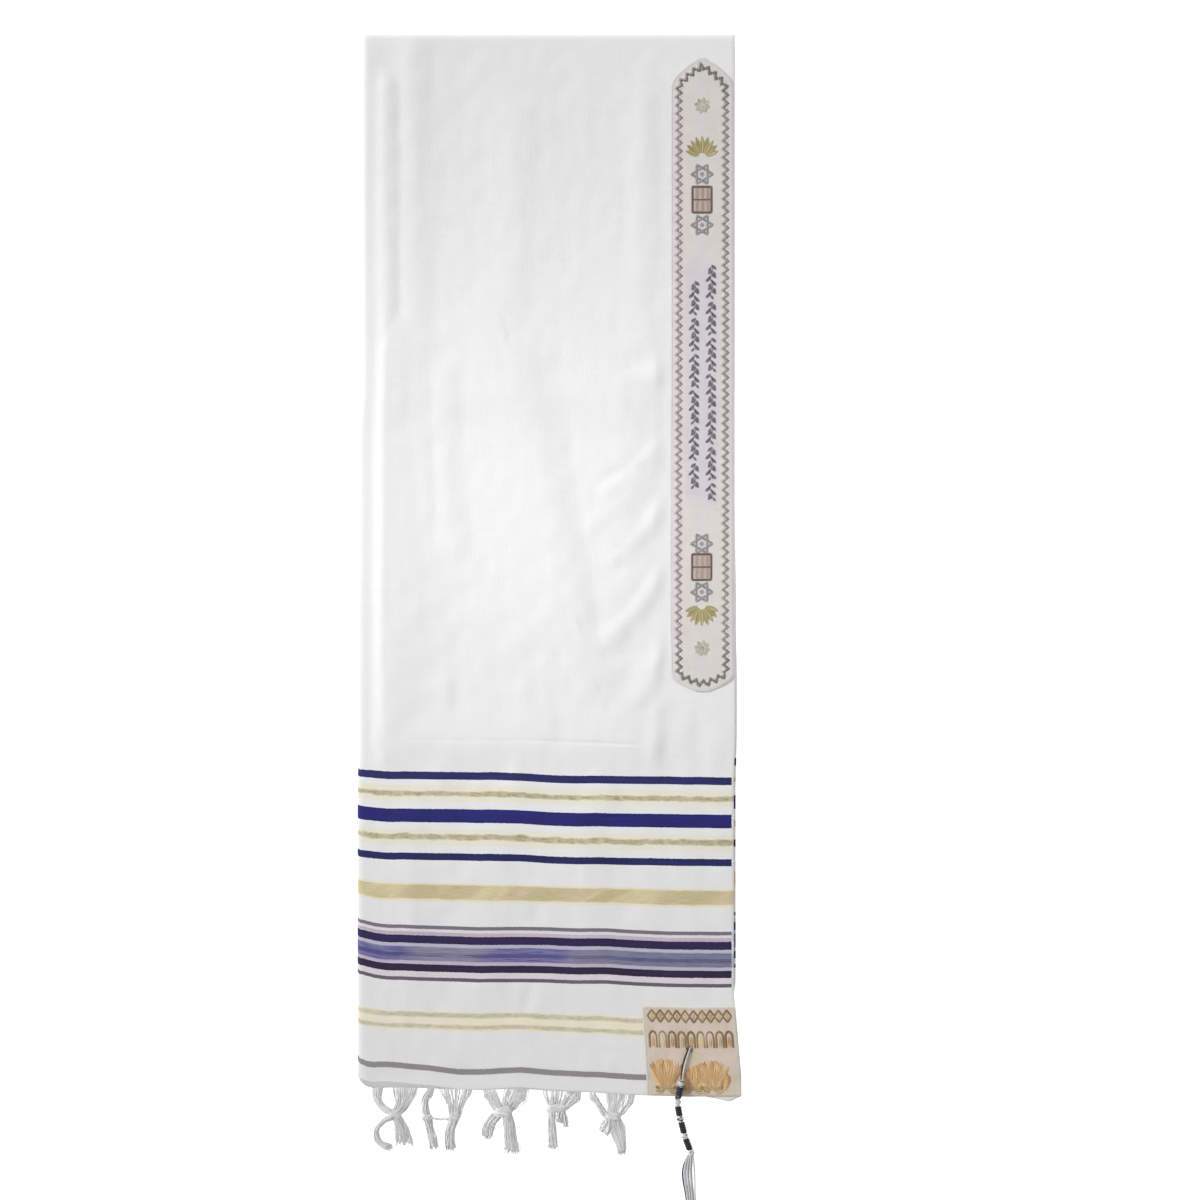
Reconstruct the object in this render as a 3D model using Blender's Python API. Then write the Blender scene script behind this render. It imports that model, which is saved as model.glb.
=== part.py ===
"""Prayer shawl of striped cloth, folded in half and laid flat, with its neckband and corner strings.

The cloth is folded along its length, so the fold is at the left and both selvedges are at the right.
The upper rest is folded under at the straight top edge. Sizes in the tables are millimetres. Places
on the cloth are given by `across`, the distance from the left fold, and `down`, the distance from
the top fold; the function `plan` turns them into x and y.
"""
import math

import bmesh
import bpy
import numpy as np

MM = 0.001

# The whole cut of the cloth, and what is left of it after both folds
CUT_WIDTH = 940.0
CUT_LENGTH = 1780.0
PANEL_WIDTH = CUT_WIDTH / 2
HEM_DOWN = 1320.0
TUCK_END = CUT_LENGTH - HEM_DOWN

# The box that the laid shawl fills, from the left fold to the corner patch and the string ends
OVERALL_WIDTH = 480.0
OVERALL_LENGTH = 1537.8
LEFT = -OVERALL_WIDTH / 2
RIGHT = OVERALL_WIDTH / 2
TOP = OVERALL_LENGTH / 2

# Thicknesses, and the clear distance between pieces that lie on each other
WALL = 1.3
LAYER = 1.2
GAP = 0.3
BAND_WALL = 1.2
PATCH_WALL = 1.1
RIM_ROUND = 0.7
SEAM_ROUND = 0.4

# The rounded folds: their depth in from the edge, and the angles of their sections
FOLD_RADIUS = 9.0
FOLD_ANGLES = (90.0, 67.5, 45.0, 22.5)

# The back half ends above the front hem, and its selvedge looks out past the front's
BACK_HEM = 1290.0
TUCK_SLOPE = (-15.0, 42.0)
HEM_SLOPE = 13.0
CORNER_LIFT = 0.8
CORNER_LIFT_WIDTH = 25.0

# Outline of the cloth. Columns: down, inset from LEFT
LEFT_EDGE = [(0, 5.6), (30, 4.9), (450, 4.4), (495, 2.0), (750, 0.9), (905, 1.9), (945, 0.0), (1320, 0.0)]
# Columns: down, inset from RIGHT
RIGHT_EDGE = [(0, 9.1), (740, 9.1), (800, 8.0), (870, 8.0), (930, 9.8), (1190, 9.8), (1211, 7.4), (1295, 0.3),
              (1320, 0.0)]
# Columns: x from LEFT, length of the cloth from the top fold to the hem there
HEM_LINE = [(0, 1301.6), (4, 1309.6), (11, 1315.6), (21, 1317.6), (53, 1316.6), (103, 1318.6), (153, 1320.1),
            (203, 1318.6), (253, 1321.6), (303, 1323.6), (348, 1326.6), (416, 1328.6), (480, 1327.6)]
# Columns: down, how far the back selvedge looks out past the front
BACK_SELVEDGE = [(0, 0.9), (600, 0.9), (690, 2.4), (1180, 2.6), (1211, -3.0), (1320, -3.0)]
# A bit of the hem hangs out below the patch. Columns: across, how far
HEM_BULGE = [(425, 0.0), (440, 3.0), (455, 7.0), (470, 0.0)]

# Soft folds of the upper layer: from one place to another, with rise and half width
FOLDS = [
    # across, down, across, down, rise, half width
    (33, 70, 33, 900, 2.6, 16),
    (65, 20, 68, 360, 2.2, 20),
    (200, 105, 178, 367, 1.8, 28),
    (352, 85, 350, 380, 1.4, 18),
    (190, 405, 232, 567, 3.6, 30),
    (232, 567, 272, 717, 3.8, 28),
    (272, 717, 292, 790, 2.2, 24),
    (108, 420, 118, 640, 2.0, 24),
    (385, 425, 330, 432, 2.8, 15),
    (380, 515, 310, 570, 3.4, 16),
    (385, 590, 322, 655, 3.0, 16),
    (382, 672, 315, 752, 3.0, 16),
    (385, 760, 350, 830, 2.4, 15),
    (26, 886, 375, 886, 1.2, 16),
    (106, 817, 100, 930, 1.8, 20),
    (206, 830, 200, 942, 1.8, 20),
    (302, 830, 306, 955, 1.6, 20),
    (60, 990, 64, 1180, 1.0, 26),
    (172, 1000, 166, 1190, 0.9, 30),
    (286, 985, 292, 1170, 1.1, 28),
]
FOLDS_FADE_IN = (12.0, 30.0)
FOLDS_FADE_OUT = (368.0, 388.0)

# Grid of the cloth: where its sections lie, past the rounded folds
SECTIONS_ACROSS = [9, 21, 34, 48, 66, 86, 108, 130, 152, 174, 196, 216, 236, 256, 276, 298, 318, 337,
                   354, 371, 388, 410, 425, 440, 455, 469.3]
SECTIONS_DOWN = [9, 35, 77, 119, 161, 203, 245, 287, 329, 371, 413, 445, 464, 483, 508, 536, 564, 592,
                 620, 648, 676, 704, 735, 770, 805, 845, 886, 930, 985, 1040, 1095, 1150, 1190, 1209.5,
                 1240, 1270, 1290, 1303, 1319.3]

# Edge of the hidden layers: three rounded edges in one, down to the folded-under rest's end.
# Columns: share of height, out
LAYERED_EDGE = [(1.0, -0.9), (0.83, -0.1), (0.67, -0.8), (0.5, 0.0), (0.33, -0.8), (0.16, -0.1), (0.0, -0.7)]
LAYERED_FADE = 20.0
EDGE_ROUND = 1.2
BACK_HEM_ROUND = [(0.7, 0.6), (1.0, 0.0)]

# Neckband, by its middle line and its ends
BAND_MIDDLE = 429.1
BAND_WIDTH = 79.6
BAND_TOP = 31.0
BAND_END = 816.7
BAND_COLUMNS = 7
# Columns: distance from the point, share of the width
BAND_TOP_POINT = [(0, 0.06), (4, 0.26), (8, 0.42), (16, 0.66), (24, 0.88), (31, 0.98), (40, 1.0)]
BAND_END_POINT = [(0, 0.12), (2, 0.32), (5, 0.52), (9, 0.73), (14, 0.92), (22, 1.0)]
BAND_SECTIONS = [130, 180, 230, 287, 350, 413, 445, 464, 483, 508, 560, 630, 700]

# Corner patch and its eyelet
PATCH_LEFT = 354.0
PATCH_TOP = 1209.5
EYELET_X = 174.4
EYELET_Y = -498.8
EYELET_RADIUS = 2.8
EYELET_SIDES = 16
CUTTER_DEPTH = 20.0

# Fringe. A bundle is some strands that run side by side through its stations.
# Stations: x, distance below the hem, half width
STRAND_RADIUS = 1.3
STRAND_POINTS = 7
STRAND_CLEAR = 0.35
ROOT_START = 3.0
STRAND_TAPER = 0.7
KNOT_RISE = 2.6
KNOT_REACH = 11.0
KNOT_SEGMENTS = 10
KNOT_RINGS = 6
TASSELS = {
    1: {
        "knots": [(-194.0, 34.0, 9.5, 5.0)],
        "bundles": [
            (6, [(-214.5, 3, 7.0), (-215.5, 11, 5.0), (-208, 24, 4.8), (-194, 34, 4.4), (-186, 48, 8.0),
                 (-182.6, 62, 10.5), (-182.6, 74, 11.5)]),
            (5, [(-180, 3, 16.0), (-182, 14, 12.0), (-187, 26, 7.5), (-196, 35, 4.5), (-210, 43, 3.6),
                 (-216.5, 54, 3.6), (-212, 68, 4.0), (-201, 75, 4.4)]),
        ],
    },
    2: {
        "knots": [(-153.5, 36.0, 6.5, 3.6), (-120.0, 35.0, 9.0, 4.6)],
        "bundles": [
            (3, [(-148, 3, 5.4), (-155.5, 14, 5.0), (-154.5, 29, 5.0), (-150, 46, 5.2), (-147, 60, 5.6),
                 (-144, 78, 6.0)]),
            (6, [(-117, 3, 21.0), (-117, 13, 14.0), (-117.5, 26, 9.0), (-120, 39, 5.6), (-124.5, 55, 6.2),
                 (-123, 78, 6.4)]),
            (1, [(-122, 35, 0.0), (-136, 37.5, 0.0), (-153, 36, 0.0)]),
        ],
    },
    3: {
        "knots": [(-58.0, 28.5, 12.0, 5.6)],
        "bundles": [
            (4, [(-75, 3, 9.0), (-68, 15, 7.0), (-63, 27, 6.0), (-73, 41, 7.0), (-77, 52, 7.6),
                 (-76, 63, 5.0)]),
            (6, [(-40, 3, 17.0), (-47, 14, 12.5), (-53, 28, 6.6), (-51, 41, 6.6), (-49, 57, 7.6),
                 (-46, 82, 9.2)]),
        ],
    },
    4: {
        "knots": [(9.0, 22.0, 14.0, 5.0)],
        "bundles": [
            (4, [(4.5, 3, 13.0), (4.5, 13, 9.0), (3, 24, 5.6), (3, 48, 5.4), (5, 75, 6.8)]),
            (4, [(31.5, 3, 11.0), (24, 12, 8.0), (16, 22, 5.0), (11.5, 40, 3.8)]),
            (2, [(16, 22, 2.6), (19.5, 33, 3.2), (20.5, 45, 3.6)]),
        ],
    },
    5: {
        "knots": [(78.0, 29.0, 11.0, 5.0)],
        "bundles": [
            (3, [(53, 3, 5.0), (59.5, 12, 4.0), (67.5, 24, 4.0), (73, 31, 4.6), (70, 43, 8.0),
                 (65, 52, 6.0)]),
            (7, [(88, 3, 20.0), (85, 14, 14.0), (80.5, 28, 8.6), (84, 42, 10.5), (88, 56, 8.0),
                 (91, 76, 4.0)]),
        ],
    },
}

# Corner strings: doubled strings from the eyelet, then knots and windings
STRING_RADIUS = 1.1
STRING_APART = (0.9, 0.6, -0.45)
HEAD_SIDES_RESOLUTION = 1
HEAD = [
    # x, y, radius
    (164.8, -538.0, 2.8),
    (164.4, -541.5, 4.6),
    (163.2, -546.5, 3.6),
    (161.9, -553.8, 3.9),
    (160.4, -560.0, 3.7),
    (159.8, -565.6, 4.8),
    (160.4, -571.0, 3.7),
    (161.4, -577.0, 3.9),
    (162.3, -582.0, 3.6),
    (163.4, -586.4, 4.7),
    (164.6, -591.5, 3.7),
    (166.6, -598.5, 3.9),
    (167.6, -603.5, 3.7),
    (168.8, -607.8, 4.7),
    (170.5, -612.5, 3.7),
    (173.0, -619.0, 3.9),
    (175.0, -624.5, 3.7),
    (176.6, -628.4, 4.7),
    (176.6, -632.5, 2.6),
]
STRING_SWING = 2.0
LOOSE_POINTS = 8
LOOSE_WAVE = 1.6
LOOSE_ENDS = [
    # side at the knot, side where they spread, side at the narrow place, side at the end, end y, level
    (-2.2, -8.0, -4.6, -9.0, -757.0, 0),
    (-0.8, -4.6, -1.6, -3.5, -764.0, 0),
    (0.8, -1.2, 1.4, 2.0, -768.9, 0),
    (2.2, 2.4, 4.6, 8.5, -760.0, 0),
    (-1.8, -6.3, -3.0, -6.0, -752.0, 1),
    (-0.5, -2.6, 0.0, -0.5, -759.0, 1),
    (0.6, 0.8, 3.0, 5.0, -754.0, 1),
    (1.9, 5.6, 6.2, 11.0, -748.0, 1),
]
LOOSE_SPREAD_Y = -648.0
LOOSE_NARROW_Y = -690.0
# Shift of the whole bunch where it spreads, at the narrow place, half way from there and at the end
LOOSE_SHIFTS = (-1.5, -0.8, 0.5, 1.0)
LOOSE_SPREAD_RISE = 0.6
LEVEL_RISE = 2.9
LEVEL_RISE_AT_KNOT = 1.2
START_STAGGER = 0.43
# Where the strings come down from the patch to the floor, past the hem
PATCH_DROP = (3.0, 9.0)

OBJECT_NAME = "Prayer_shawl"
SHARP_ANGLE = math.radians(50)
WELD_DISTANCE = 0.01


def clear_scene():
    """Remove what the scene holds and give back two fresh collections, for the parts and the cutters."""
    for item in list(bpy.data.objects):
        bpy.data.objects.remove(item, do_unlink=True)
    parts = bpy.data.collections.new(OBJECT_NAME)
    cutters = bpy.data.collections.new("Cutters")
    bpy.context.scene.collection.children.link(parts)
    bpy.context.scene.collection.children.link(cutters)
    return parts, cutters


def material(name, colour, roughness, sheen=0.0):
    """A plain Principled finish."""
    finish = bpy.data.materials.new(name)
    finish.use_nodes = True
    shader = finish.node_tree.nodes["Principled BSDF"]
    shader.inputs["Base Color"].default_value = (*colour, 1.0)
    shader.inputs["Roughness"].default_value = roughness
    shader.inputs["Metallic"].default_value = 0.0
    shader.inputs["Sheen Weight"].default_value = sheen
    finish.diffuse_color = (*colour, 1.0)
    return finish


def read_table(table, place):
    """Second column of a two-column table at a place along its first column."""
    columns = np.array(table, dtype=float)
    return np.interp(place, columns[:, 0], columns[:, 1])


def ease(value, start, end):
    """Rise smoothly from 0 at start to 1 at end."""
    share = np.clip((value - start) / (end - start), 0.0, 1.0)
    return share * share * (3.0 - 2.0 * share)


def plan(across, down):
    """x and y, in millimetres, of a place on the laid cloth."""
    left = LEFT + read_table(LEFT_EDGE, down)
    right = RIGHT - read_table(RIGHT_EDGE, down)
    x = left + (right - left) * across / PANEL_WIDTH
    y = TOP - down * read_table(HEM_LINE, x - LEFT) / HEM_DOWN
    return x, y


def down_at(x, y):
    """How far down the cloth a point of the plan lies."""
    return (TOP - y) * HEM_DOWN / read_table(HEM_LINE, x - LEFT)


def fold_rise(across, down):
    """Height of the soft folds: each is a rounded ridge along a line, highest on the line."""
    rise = np.zeros(np.broadcast(across, down).shape)
    for across_a, down_a, across_b, down_b, height, half_width in FOLDS:
        run_across = across_b - across_a
        run_down = down_b - down_a
        along = ((across - across_a) * run_across + (down - down_a) * run_down)
        along = np.clip(along / (run_across ** 2 + run_down ** 2), 0.0, 1.0)
        off = np.hypot(across - across_a - along * run_across, down - down_a - along * run_down)
        rise = np.maximum(rise, height * np.exp(-(off / half_width) ** 2))
    inside = ease(across, *FOLDS_FADE_IN) * (1.0 - ease(across, *FOLDS_FADE_OUT))
    return rise * inside


def layers_below(across, down):
    """Height of the hidden layers and the gap over them: three at the top, one below, none at the hem."""
    height = 3 * LAYER + GAP - 2 * LAYER * ease(down, TUCK_END + TUCK_SLOPE[0], TUCK_END + TUCK_SLOPE[1])
    to_floor = ease(down, BACK_HEM, BACK_HEM + HEM_SLOPE)
    corner = CORNER_LIFT * (1.0 - ease(across, FOLD_RADIUS, CORNER_LIFT_WIDTH))
    return height * (1.0 - to_floor) + corner * to_floor


def cloth_height(across, down):
    """Height of the upper layer's outer face over the floor."""
    return layers_below(across, down) + WALL + fold_rise(across, down)


def turned_sections(places):
    """Places and angles of sections: those of the rounded fold first, then those on the flat."""
    turns = [(FOLD_RADIUS, math.radians(angle)) for angle in FOLD_ANGLES]
    return np.array(turns + [(place, 0.0) for place in places]).T


def cloth_face(depth, sections_across, sections_down):
    """Grid of points that lies `depth` under the outer face, round both folds and down to the floor.

    Round a fold the section is a quarter of an ellipse, so every face there is its own ellipse.
    """
    across, turn_across = turned_sections(sections_across)
    down, turn_down = turned_sections(sections_down)
    across, down = np.meshgrid(across, down)
    turn_across, turn_down = np.meshgrid(turn_across, turn_down)
    height = (cloth_height(across, down) - depth) * np.cos(turn_across) * np.cos(turn_down)
    across = np.where(turn_across > 0, depth + (FOLD_RADIUS - depth) * (1 - np.sin(turn_across)), across)
    down = np.where(turn_down > 0, depth + (FOLD_RADIUS - depth) * (1 - np.sin(turn_down)), down)
    x, y = plan(across, down)
    return np.dstack([x, y, height])


def rim_of(rows, columns):
    """Row and column of each point round a grid: down the left, along the end, up the right, back."""
    left = [(row, 0) for row in range(rows - 1)]
    end = [(rows - 1, column) for column in range(columns - 1)]
    right = [(row, columns - 1) for row in range(rows - 1, 0, -1)]
    start = [(0, column) for column in range(columns - 1, 0, -1)]
    return left + end + right + start


def grid_triangles(rows, columns, first, face_up):
    """Two triangles for each cell, with the same diagonal whichever way the grid faces."""
    triangles = []
    for row in range(rows - 1):
        for column in range(columns - 1):
            a = first + row * columns + column
            b = a + columns
            c = b + 1
            d = a + 1
            if face_up:
                triangles += [(a, b, c), (a, c, d)]
            else:
                triangles += [(a, c, b), (a, d, c)]
    return triangles


def add_mesh(name, points, faces, finish, collection):
    """A mesh object from points in millimetres."""
    mesh = bpy.data.meshes.new(name)
    mesh.from_pydata((np.asarray(points) * MM).tolist(), [], faces)
    mesh.update()
    mesh.materials.append(finish)
    mesh.shade_smooth()
    mesh.set_sharp_from_angle(angle=SHARP_ANGLE)
    thing = bpy.data.objects.new(name, mesh)
    collection.objects.link(thing)
    return thing


def cloth_wall(name, upper, lower, round_out, finish, collection):
    """A closed wall between two grids, whose rim is rounded out by the given distances.

    round_out holds the distance at the left, the end, the right and the start of the grid.
    """
    rows, columns = upper.shape[:2]
    rim = rim_of(rows, columns)
    count = rows * columns
    left, end, right, start = round_out
    middle = []
    for row, column in rim:
        point = (upper[row, column] + lower[row, column]) / 2
        shift_x = right * (column == columns - 1) - left * (column == 0)
        shift_y = start * (row == 0) - end * (row == rows - 1)
        middle.append(point + np.array([shift_x, shift_y, 0.0]))
    points = np.vstack([upper.reshape(-1, 3), lower.reshape(-1, 3), middle])
    faces = grid_triangles(rows, columns, 0, True) + grid_triangles(rows, columns, count, False)
    for place, (row, column) in enumerate(rim):
        following = (place + 1) % len(rim)
        next_row, next_column = rim[following]
        over = row * columns + column
        over_next = next_row * columns + next_column
        between = 2 * count + place
        between_next = 2 * count + following
        faces.append((over, between, between_next, over_next))
        faces.append((between, count + over, count + over_next, between_next))
    return add_mesh(name, points, faces, finish, collection)


def make_front(finish, collection):
    """The half of the cloth that faces up."""
    outer = cloth_face(0.0, SECTIONS_ACROSS, SECTIONS_DOWN)
    inner = cloth_face(WALL, SECTIONS_ACROSS, SECTIONS_DOWN)
    turns = [0.0] * len(FOLD_ANGLES)
    out = read_table(HEM_BULGE, np.array(turns + SECTIONS_ACROSS))
    outer[-1, :, 1] -= out
    inner[-1, :, 1] -= out
    return cloth_wall("shawl_front", outer, inner, (0.0, RIM_ROUND, RIM_ROUND, 0.0), finish, collection)


def make_under_layers(finish, collection):
    """Back half and folded-under rest, as one solid: flat below, its top just under the front."""
    sections_down = [place for place in SECTIONS_DOWN if place <= BACK_HEM]
    top = cloth_face(WALL + GAP, SECTIONS_ACROSS[:-1], sections_down)
    down, turn = turned_sections(sections_down)
    depth = WALL + GAP
    down_place = np.where(turn > 0, depth + (FOLD_RADIUS - depth) * (1 - np.sin(turn)), down)
    height = (cloth_height(PANEL_WIDTH, down) - depth) * np.cos(turn)
    edge_x = RIGHT - read_table(RIGHT_EDGE, down_place) + read_table(BACK_SELVEDGE, down_place)
    edge_y = TOP - down_place * read_table(HEM_LINE, edge_x - LEFT) / HEM_DOWN
    layered = ease(down, FOLD_RADIUS, 2 * FOLD_RADIUS) * (1.0 - ease(down, TUCK_END - LAYERED_FADE, TUCK_END))
    columns = [top]
    for share, out in LAYERED_EDGE:
        plain = EDGE_ROUND * (math.sqrt(1.0 - share * share) - 1.0)
        x = edge_x + layered * out + (1.0 - layered) * plain
        columns.append(np.dstack([x, edge_y, height * share]).reshape(-1, 1, 3))
    lid = np.concatenate(columns, axis=1)
    for beyond, share in BACK_HEM_ROUND:
        row = lid[len(down) - 1:len(down)].copy()
        row[:, :, 1] -= beyond
        row[:, :, 2] *= share
        lid = np.concatenate([lid, row], axis=0)
    rows, width = lid.shape[:2]
    faces = grid_triangles(rows, width, 0, True)
    faces.append([row * width + column for row, column in reversed(rim_of(rows, width))])
    return add_mesh("shawl_under_layers", lid.reshape(-1, 3), faces, finish, collection)


def lie_on_cloth(across, down, clear):
    """Grid of points at a height over the front's outer face."""
    x, y = plan(across, down)
    return np.dstack([x, y, cloth_height(across, down) + clear])


def make_neckband(finish, collection):
    """Long band along the selvedge, with pointed round ends, over the front's own points."""
    top = BAND_TOP + np.array([distance for distance, share in BAND_TOP_POINT])
    end = BAND_END - np.array([distance for distance, share in BAND_END_POINT])
    down = np.concatenate([top, BAND_SECTIONS, end[::-1]])
    share = np.minimum(read_table(BAND_TOP_POINT, down - BAND_TOP), read_table(BAND_END_POINT, BAND_END - down))
    half = BAND_WIDTH / 2 * share
    across = BAND_MIDDLE + half[:, None] * np.linspace(-1, 1, BAND_COLUMNS)[None, :]
    down = np.repeat(down[:, None], BAND_COLUMNS, axis=1)
    lower = lie_on_cloth(across, down, GAP)
    upper = lie_on_cloth(across, down, GAP + BAND_WALL)
    rounds = (SEAM_ROUND, SEAM_ROUND, SEAM_ROUND, SEAM_ROUND)
    return cloth_wall("neckband", upper, lower, rounds, finish, collection)


def make_patch(finish, collection):
    """Square patch on the lower right corner, over the front's own points."""
    across = [place for place in SECTIONS_ACROSS if place >= PATCH_LEFT]
    down = [place for place in SECTIONS_DOWN if place >= PATCH_TOP]
    across, down = np.meshgrid(np.array(across, dtype=float), np.array(down, dtype=float))
    lower = lie_on_cloth(across, down, GAP)
    upper = lie_on_cloth(across, down, GAP + PATCH_WALL)
    rounds = (SEAM_ROUND, SEAM_ROUND, RIM_ROUND, SEAM_ROUND)
    return cloth_wall("corner_patch", upper, lower, rounds, finish, collection)


def cut_eyelet(pieces, cutters):
    """Cut the eyelet through the patch and the cloth under it."""
    bpy.ops.mesh.primitive_cylinder_add(vertices=EYELET_SIDES, radius=EYELET_RADIUS * MM,
                                        depth=CUTTER_DEPTH * MM,
                                        location=(EYELET_X * MM, EYELET_Y * MM, 0.0))
    cutter = bpy.context.active_object
    cutter.name = "eyelet_cutter"
    for holder in list(cutter.users_collection):
        holder.objects.unlink(cutter)
    cutters.objects.link(cutter)
    cutter.hide_render = True
    cutter.display_type = "WIRE"
    for piece in pieces:
        hole = piece.modifiers.new("eyelet", "BOOLEAN")
        hole.operation = "DIFFERENCE"
        hole.solver = "EXACT"
        hole.object = cutter


def smooth_path(stations, count):
    """Points at even shares of a smooth curve through the stations, by cubic pieces between them."""
    stations = np.array(stations, dtype=float)
    steps = np.hypot(*np.diff(stations[:, :2], axis=0).T)
    places = np.concatenate([[0.0], np.cumsum(steps)])
    slopes = np.gradient(stations, places, axis=0)
    wanted = np.linspace(0.0, places[-1], count)
    part = np.clip(np.searchsorted(places, wanted, side="right") - 1, 0, len(steps) - 1)
    span = steps[part]
    t = ((wanted - places[part]) / span)[:, None]
    span = span[:, None]
    return ((2 * t ** 3 - 3 * t ** 2 + 1) * stations[part] + (t ** 3 - 2 * t ** 2 + t) * span * slopes[part]
            + (3 * t ** 2 - 2 * t ** 3) * stations[part + 1] + (t ** 3 - t ** 2) * span * slopes[part + 1])


def tube(name, points, radii, resolution, collection):
    """A closed tube mesh along points in millimetres, with a radius at each."""
    curve = bpy.data.curves.new(name, "CURVE")
    curve.dimensions = "3D"
    curve.bevel_depth = MM
    curve.bevel_resolution = resolution
    curve.use_fill_caps = True
    spline = curve.splines.new("POLY")
    spline.points.add(len(points) - 1)
    for knot, point, radius in zip(spline.points, points, radii):
        knot.co = (*(np.asarray(point) * MM), 1.0)
        knot.radius = radius
    holder = bpy.data.objects.new(name, curve)
    collection.objects.link(holder)
    seen = holder.evaluated_get(bpy.context.evaluated_depsgraph_get())
    mesh = bpy.data.meshes.new_from_object(seen)
    shape = bmesh.new()
    shape.from_mesh(mesh)
    bmesh.ops.remove_doubles(shape, verts=shape.verts, dist=WELD_DISTANCE * MM)
    bmesh.ops.recalc_face_normals(shape, faces=shape.faces)
    shape.to_mesh(mesh)
    shape.free()
    piece = bpy.data.objects.new(name, mesh)
    collection.objects.link(piece)
    bpy.data.objects.remove(holder, do_unlink=True)
    return piece


def ball(name, centre, radii, collection):
    """A squashed ball in millimetres, for a knot."""
    bpy.ops.mesh.primitive_uv_sphere_add(segments=KNOT_SEGMENTS, ring_count=KNOT_RINGS, radius=MM)
    piece = bpy.context.active_object
    piece.name = name
    for corner in piece.data.vertices:
        corner.co = [MM * place + share * radius for place, share, radius in zip(centre, corner.co, radii)]
    for holder in list(piece.users_collection):
        holder.objects.unlink(piece)
    collection.objects.link(piece)
    return piece


def fuse(name, pieces, crossing, finish, collection):
    """One closed body from pieces that overlap, joined one after another.

    crossing is for pieces that meet in one spot, where the solver also has to look at the body itself.
    """
    body = pieces[0]
    for piece in pieces[1:]:
        join = body.modifiers.new("join", "BOOLEAN")
        join.operation = "UNION"
        join.solver = "EXACT"
        join.object = piece
        join.use_self = crossing
        seen = body.evaluated_get(bpy.context.evaluated_depsgraph_get())
        joined = bpy.data.meshes.new_from_object(seen)
        body.modifiers.clear()
        body.data = joined
        bpy.data.objects.remove(piece, do_unlink=True)
    body.name = name
    body.data.name = name
    body.data.materials.clear()
    body.data.materials.append(finish)
    body.data.shade_smooth()
    body.data.set_sharp_from_angle(angle=SHARP_ANGLE)
    for holder in list(body.users_collection):
        holder.objects.unlink(body)
    collection.objects.link(body)
    return body


def hem_y(x):
    """y of the front's hem at an x, between the sections of the front."""
    section_x, section_y = plan(np.array(SECTIONS_ACROSS), np.array(SECTIONS_DOWN[-1]))
    return np.interp(x, section_x, section_y) - RIM_ROUND


def make_tassel(number, tassel, finish, collection):
    """Warp ends that leave the hem in a fan, meet in a knot and part again."""
    pieces = []
    rest = STRAND_RADIUS + STRAND_CLEAR
    knots = [(x, hem_y(x) - below, reach_x, reach_y) for x, below, reach_x, reach_y in tassel["knots"]]
    for place, (x, y, reach_x, reach_y) in enumerate(knots):
        centre = (x, y, rest + KNOT_RISE / 2)
        radii = (reach_x, reach_y, rest + KNOT_RISE / 2 - GAP)
        pieces.append(ball(f"knot_{place}", centre, radii, collection))
    for strands, stations in tassel["bundles"]:
        path = smooth_path(stations, STRAND_POINTS)
        heading = np.gradient(path[:, :2], axis=0)
        heading /= np.hypot(*heading.T)[:, None]
        sides = np.array([0.0]) if strands == 1 else np.linspace(-1.0, 1.0, strands)
        for strand, side in enumerate(sides):
            off = side * np.maximum(path[:, 2] - STRAND_RADIUS, 0.0)
            x = path[:, 0] + heading[:, 1] * off
            below = path[:, 1] - heading[:, 0] * off
            if stations[0][1] == ROOT_START:
                below[0] = ROOT_START
                x = np.concatenate([x[:1], x])
                below = np.concatenate([[GAP], below])
            y = hem_y(x) - below
            lift = np.zeros(len(x))
            for knot_x, knot_y, reach_x, reach_y in knots:
                lift = np.maximum(lift, np.exp(-(np.hypot(x - knot_x, y - knot_y) / KNOT_REACH) ** 2))
            height = rest + KNOT_RISE / 2 * lift
            radii = np.full(len(x), STRAND_RADIUS)
            radii[[0, -1]] *= STRAND_TAPER
            pieces.append(tube(f"strand_{strand}", np.column_stack([x, y, height]), radii, 0, collection))
    return fuse(f"fringe_tassel_{number}", pieces, False, finish, collection)


def patch_top(x, y):
    """Height of what lies under the corner strings: the patch, and past the hem the floor."""
    down = down_at(x, y)
    on_patch = cloth_height(PANEL_WIDTH - FOLD_RADIUS, np.minimum(down, HEM_DOWN)) + GAP + PATCH_WALL
    return on_patch * (1.0 - ease(down, HEM_DOWN + PATCH_DROP[0], HEM_DOWN + PATCH_DROP[1]))


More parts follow.
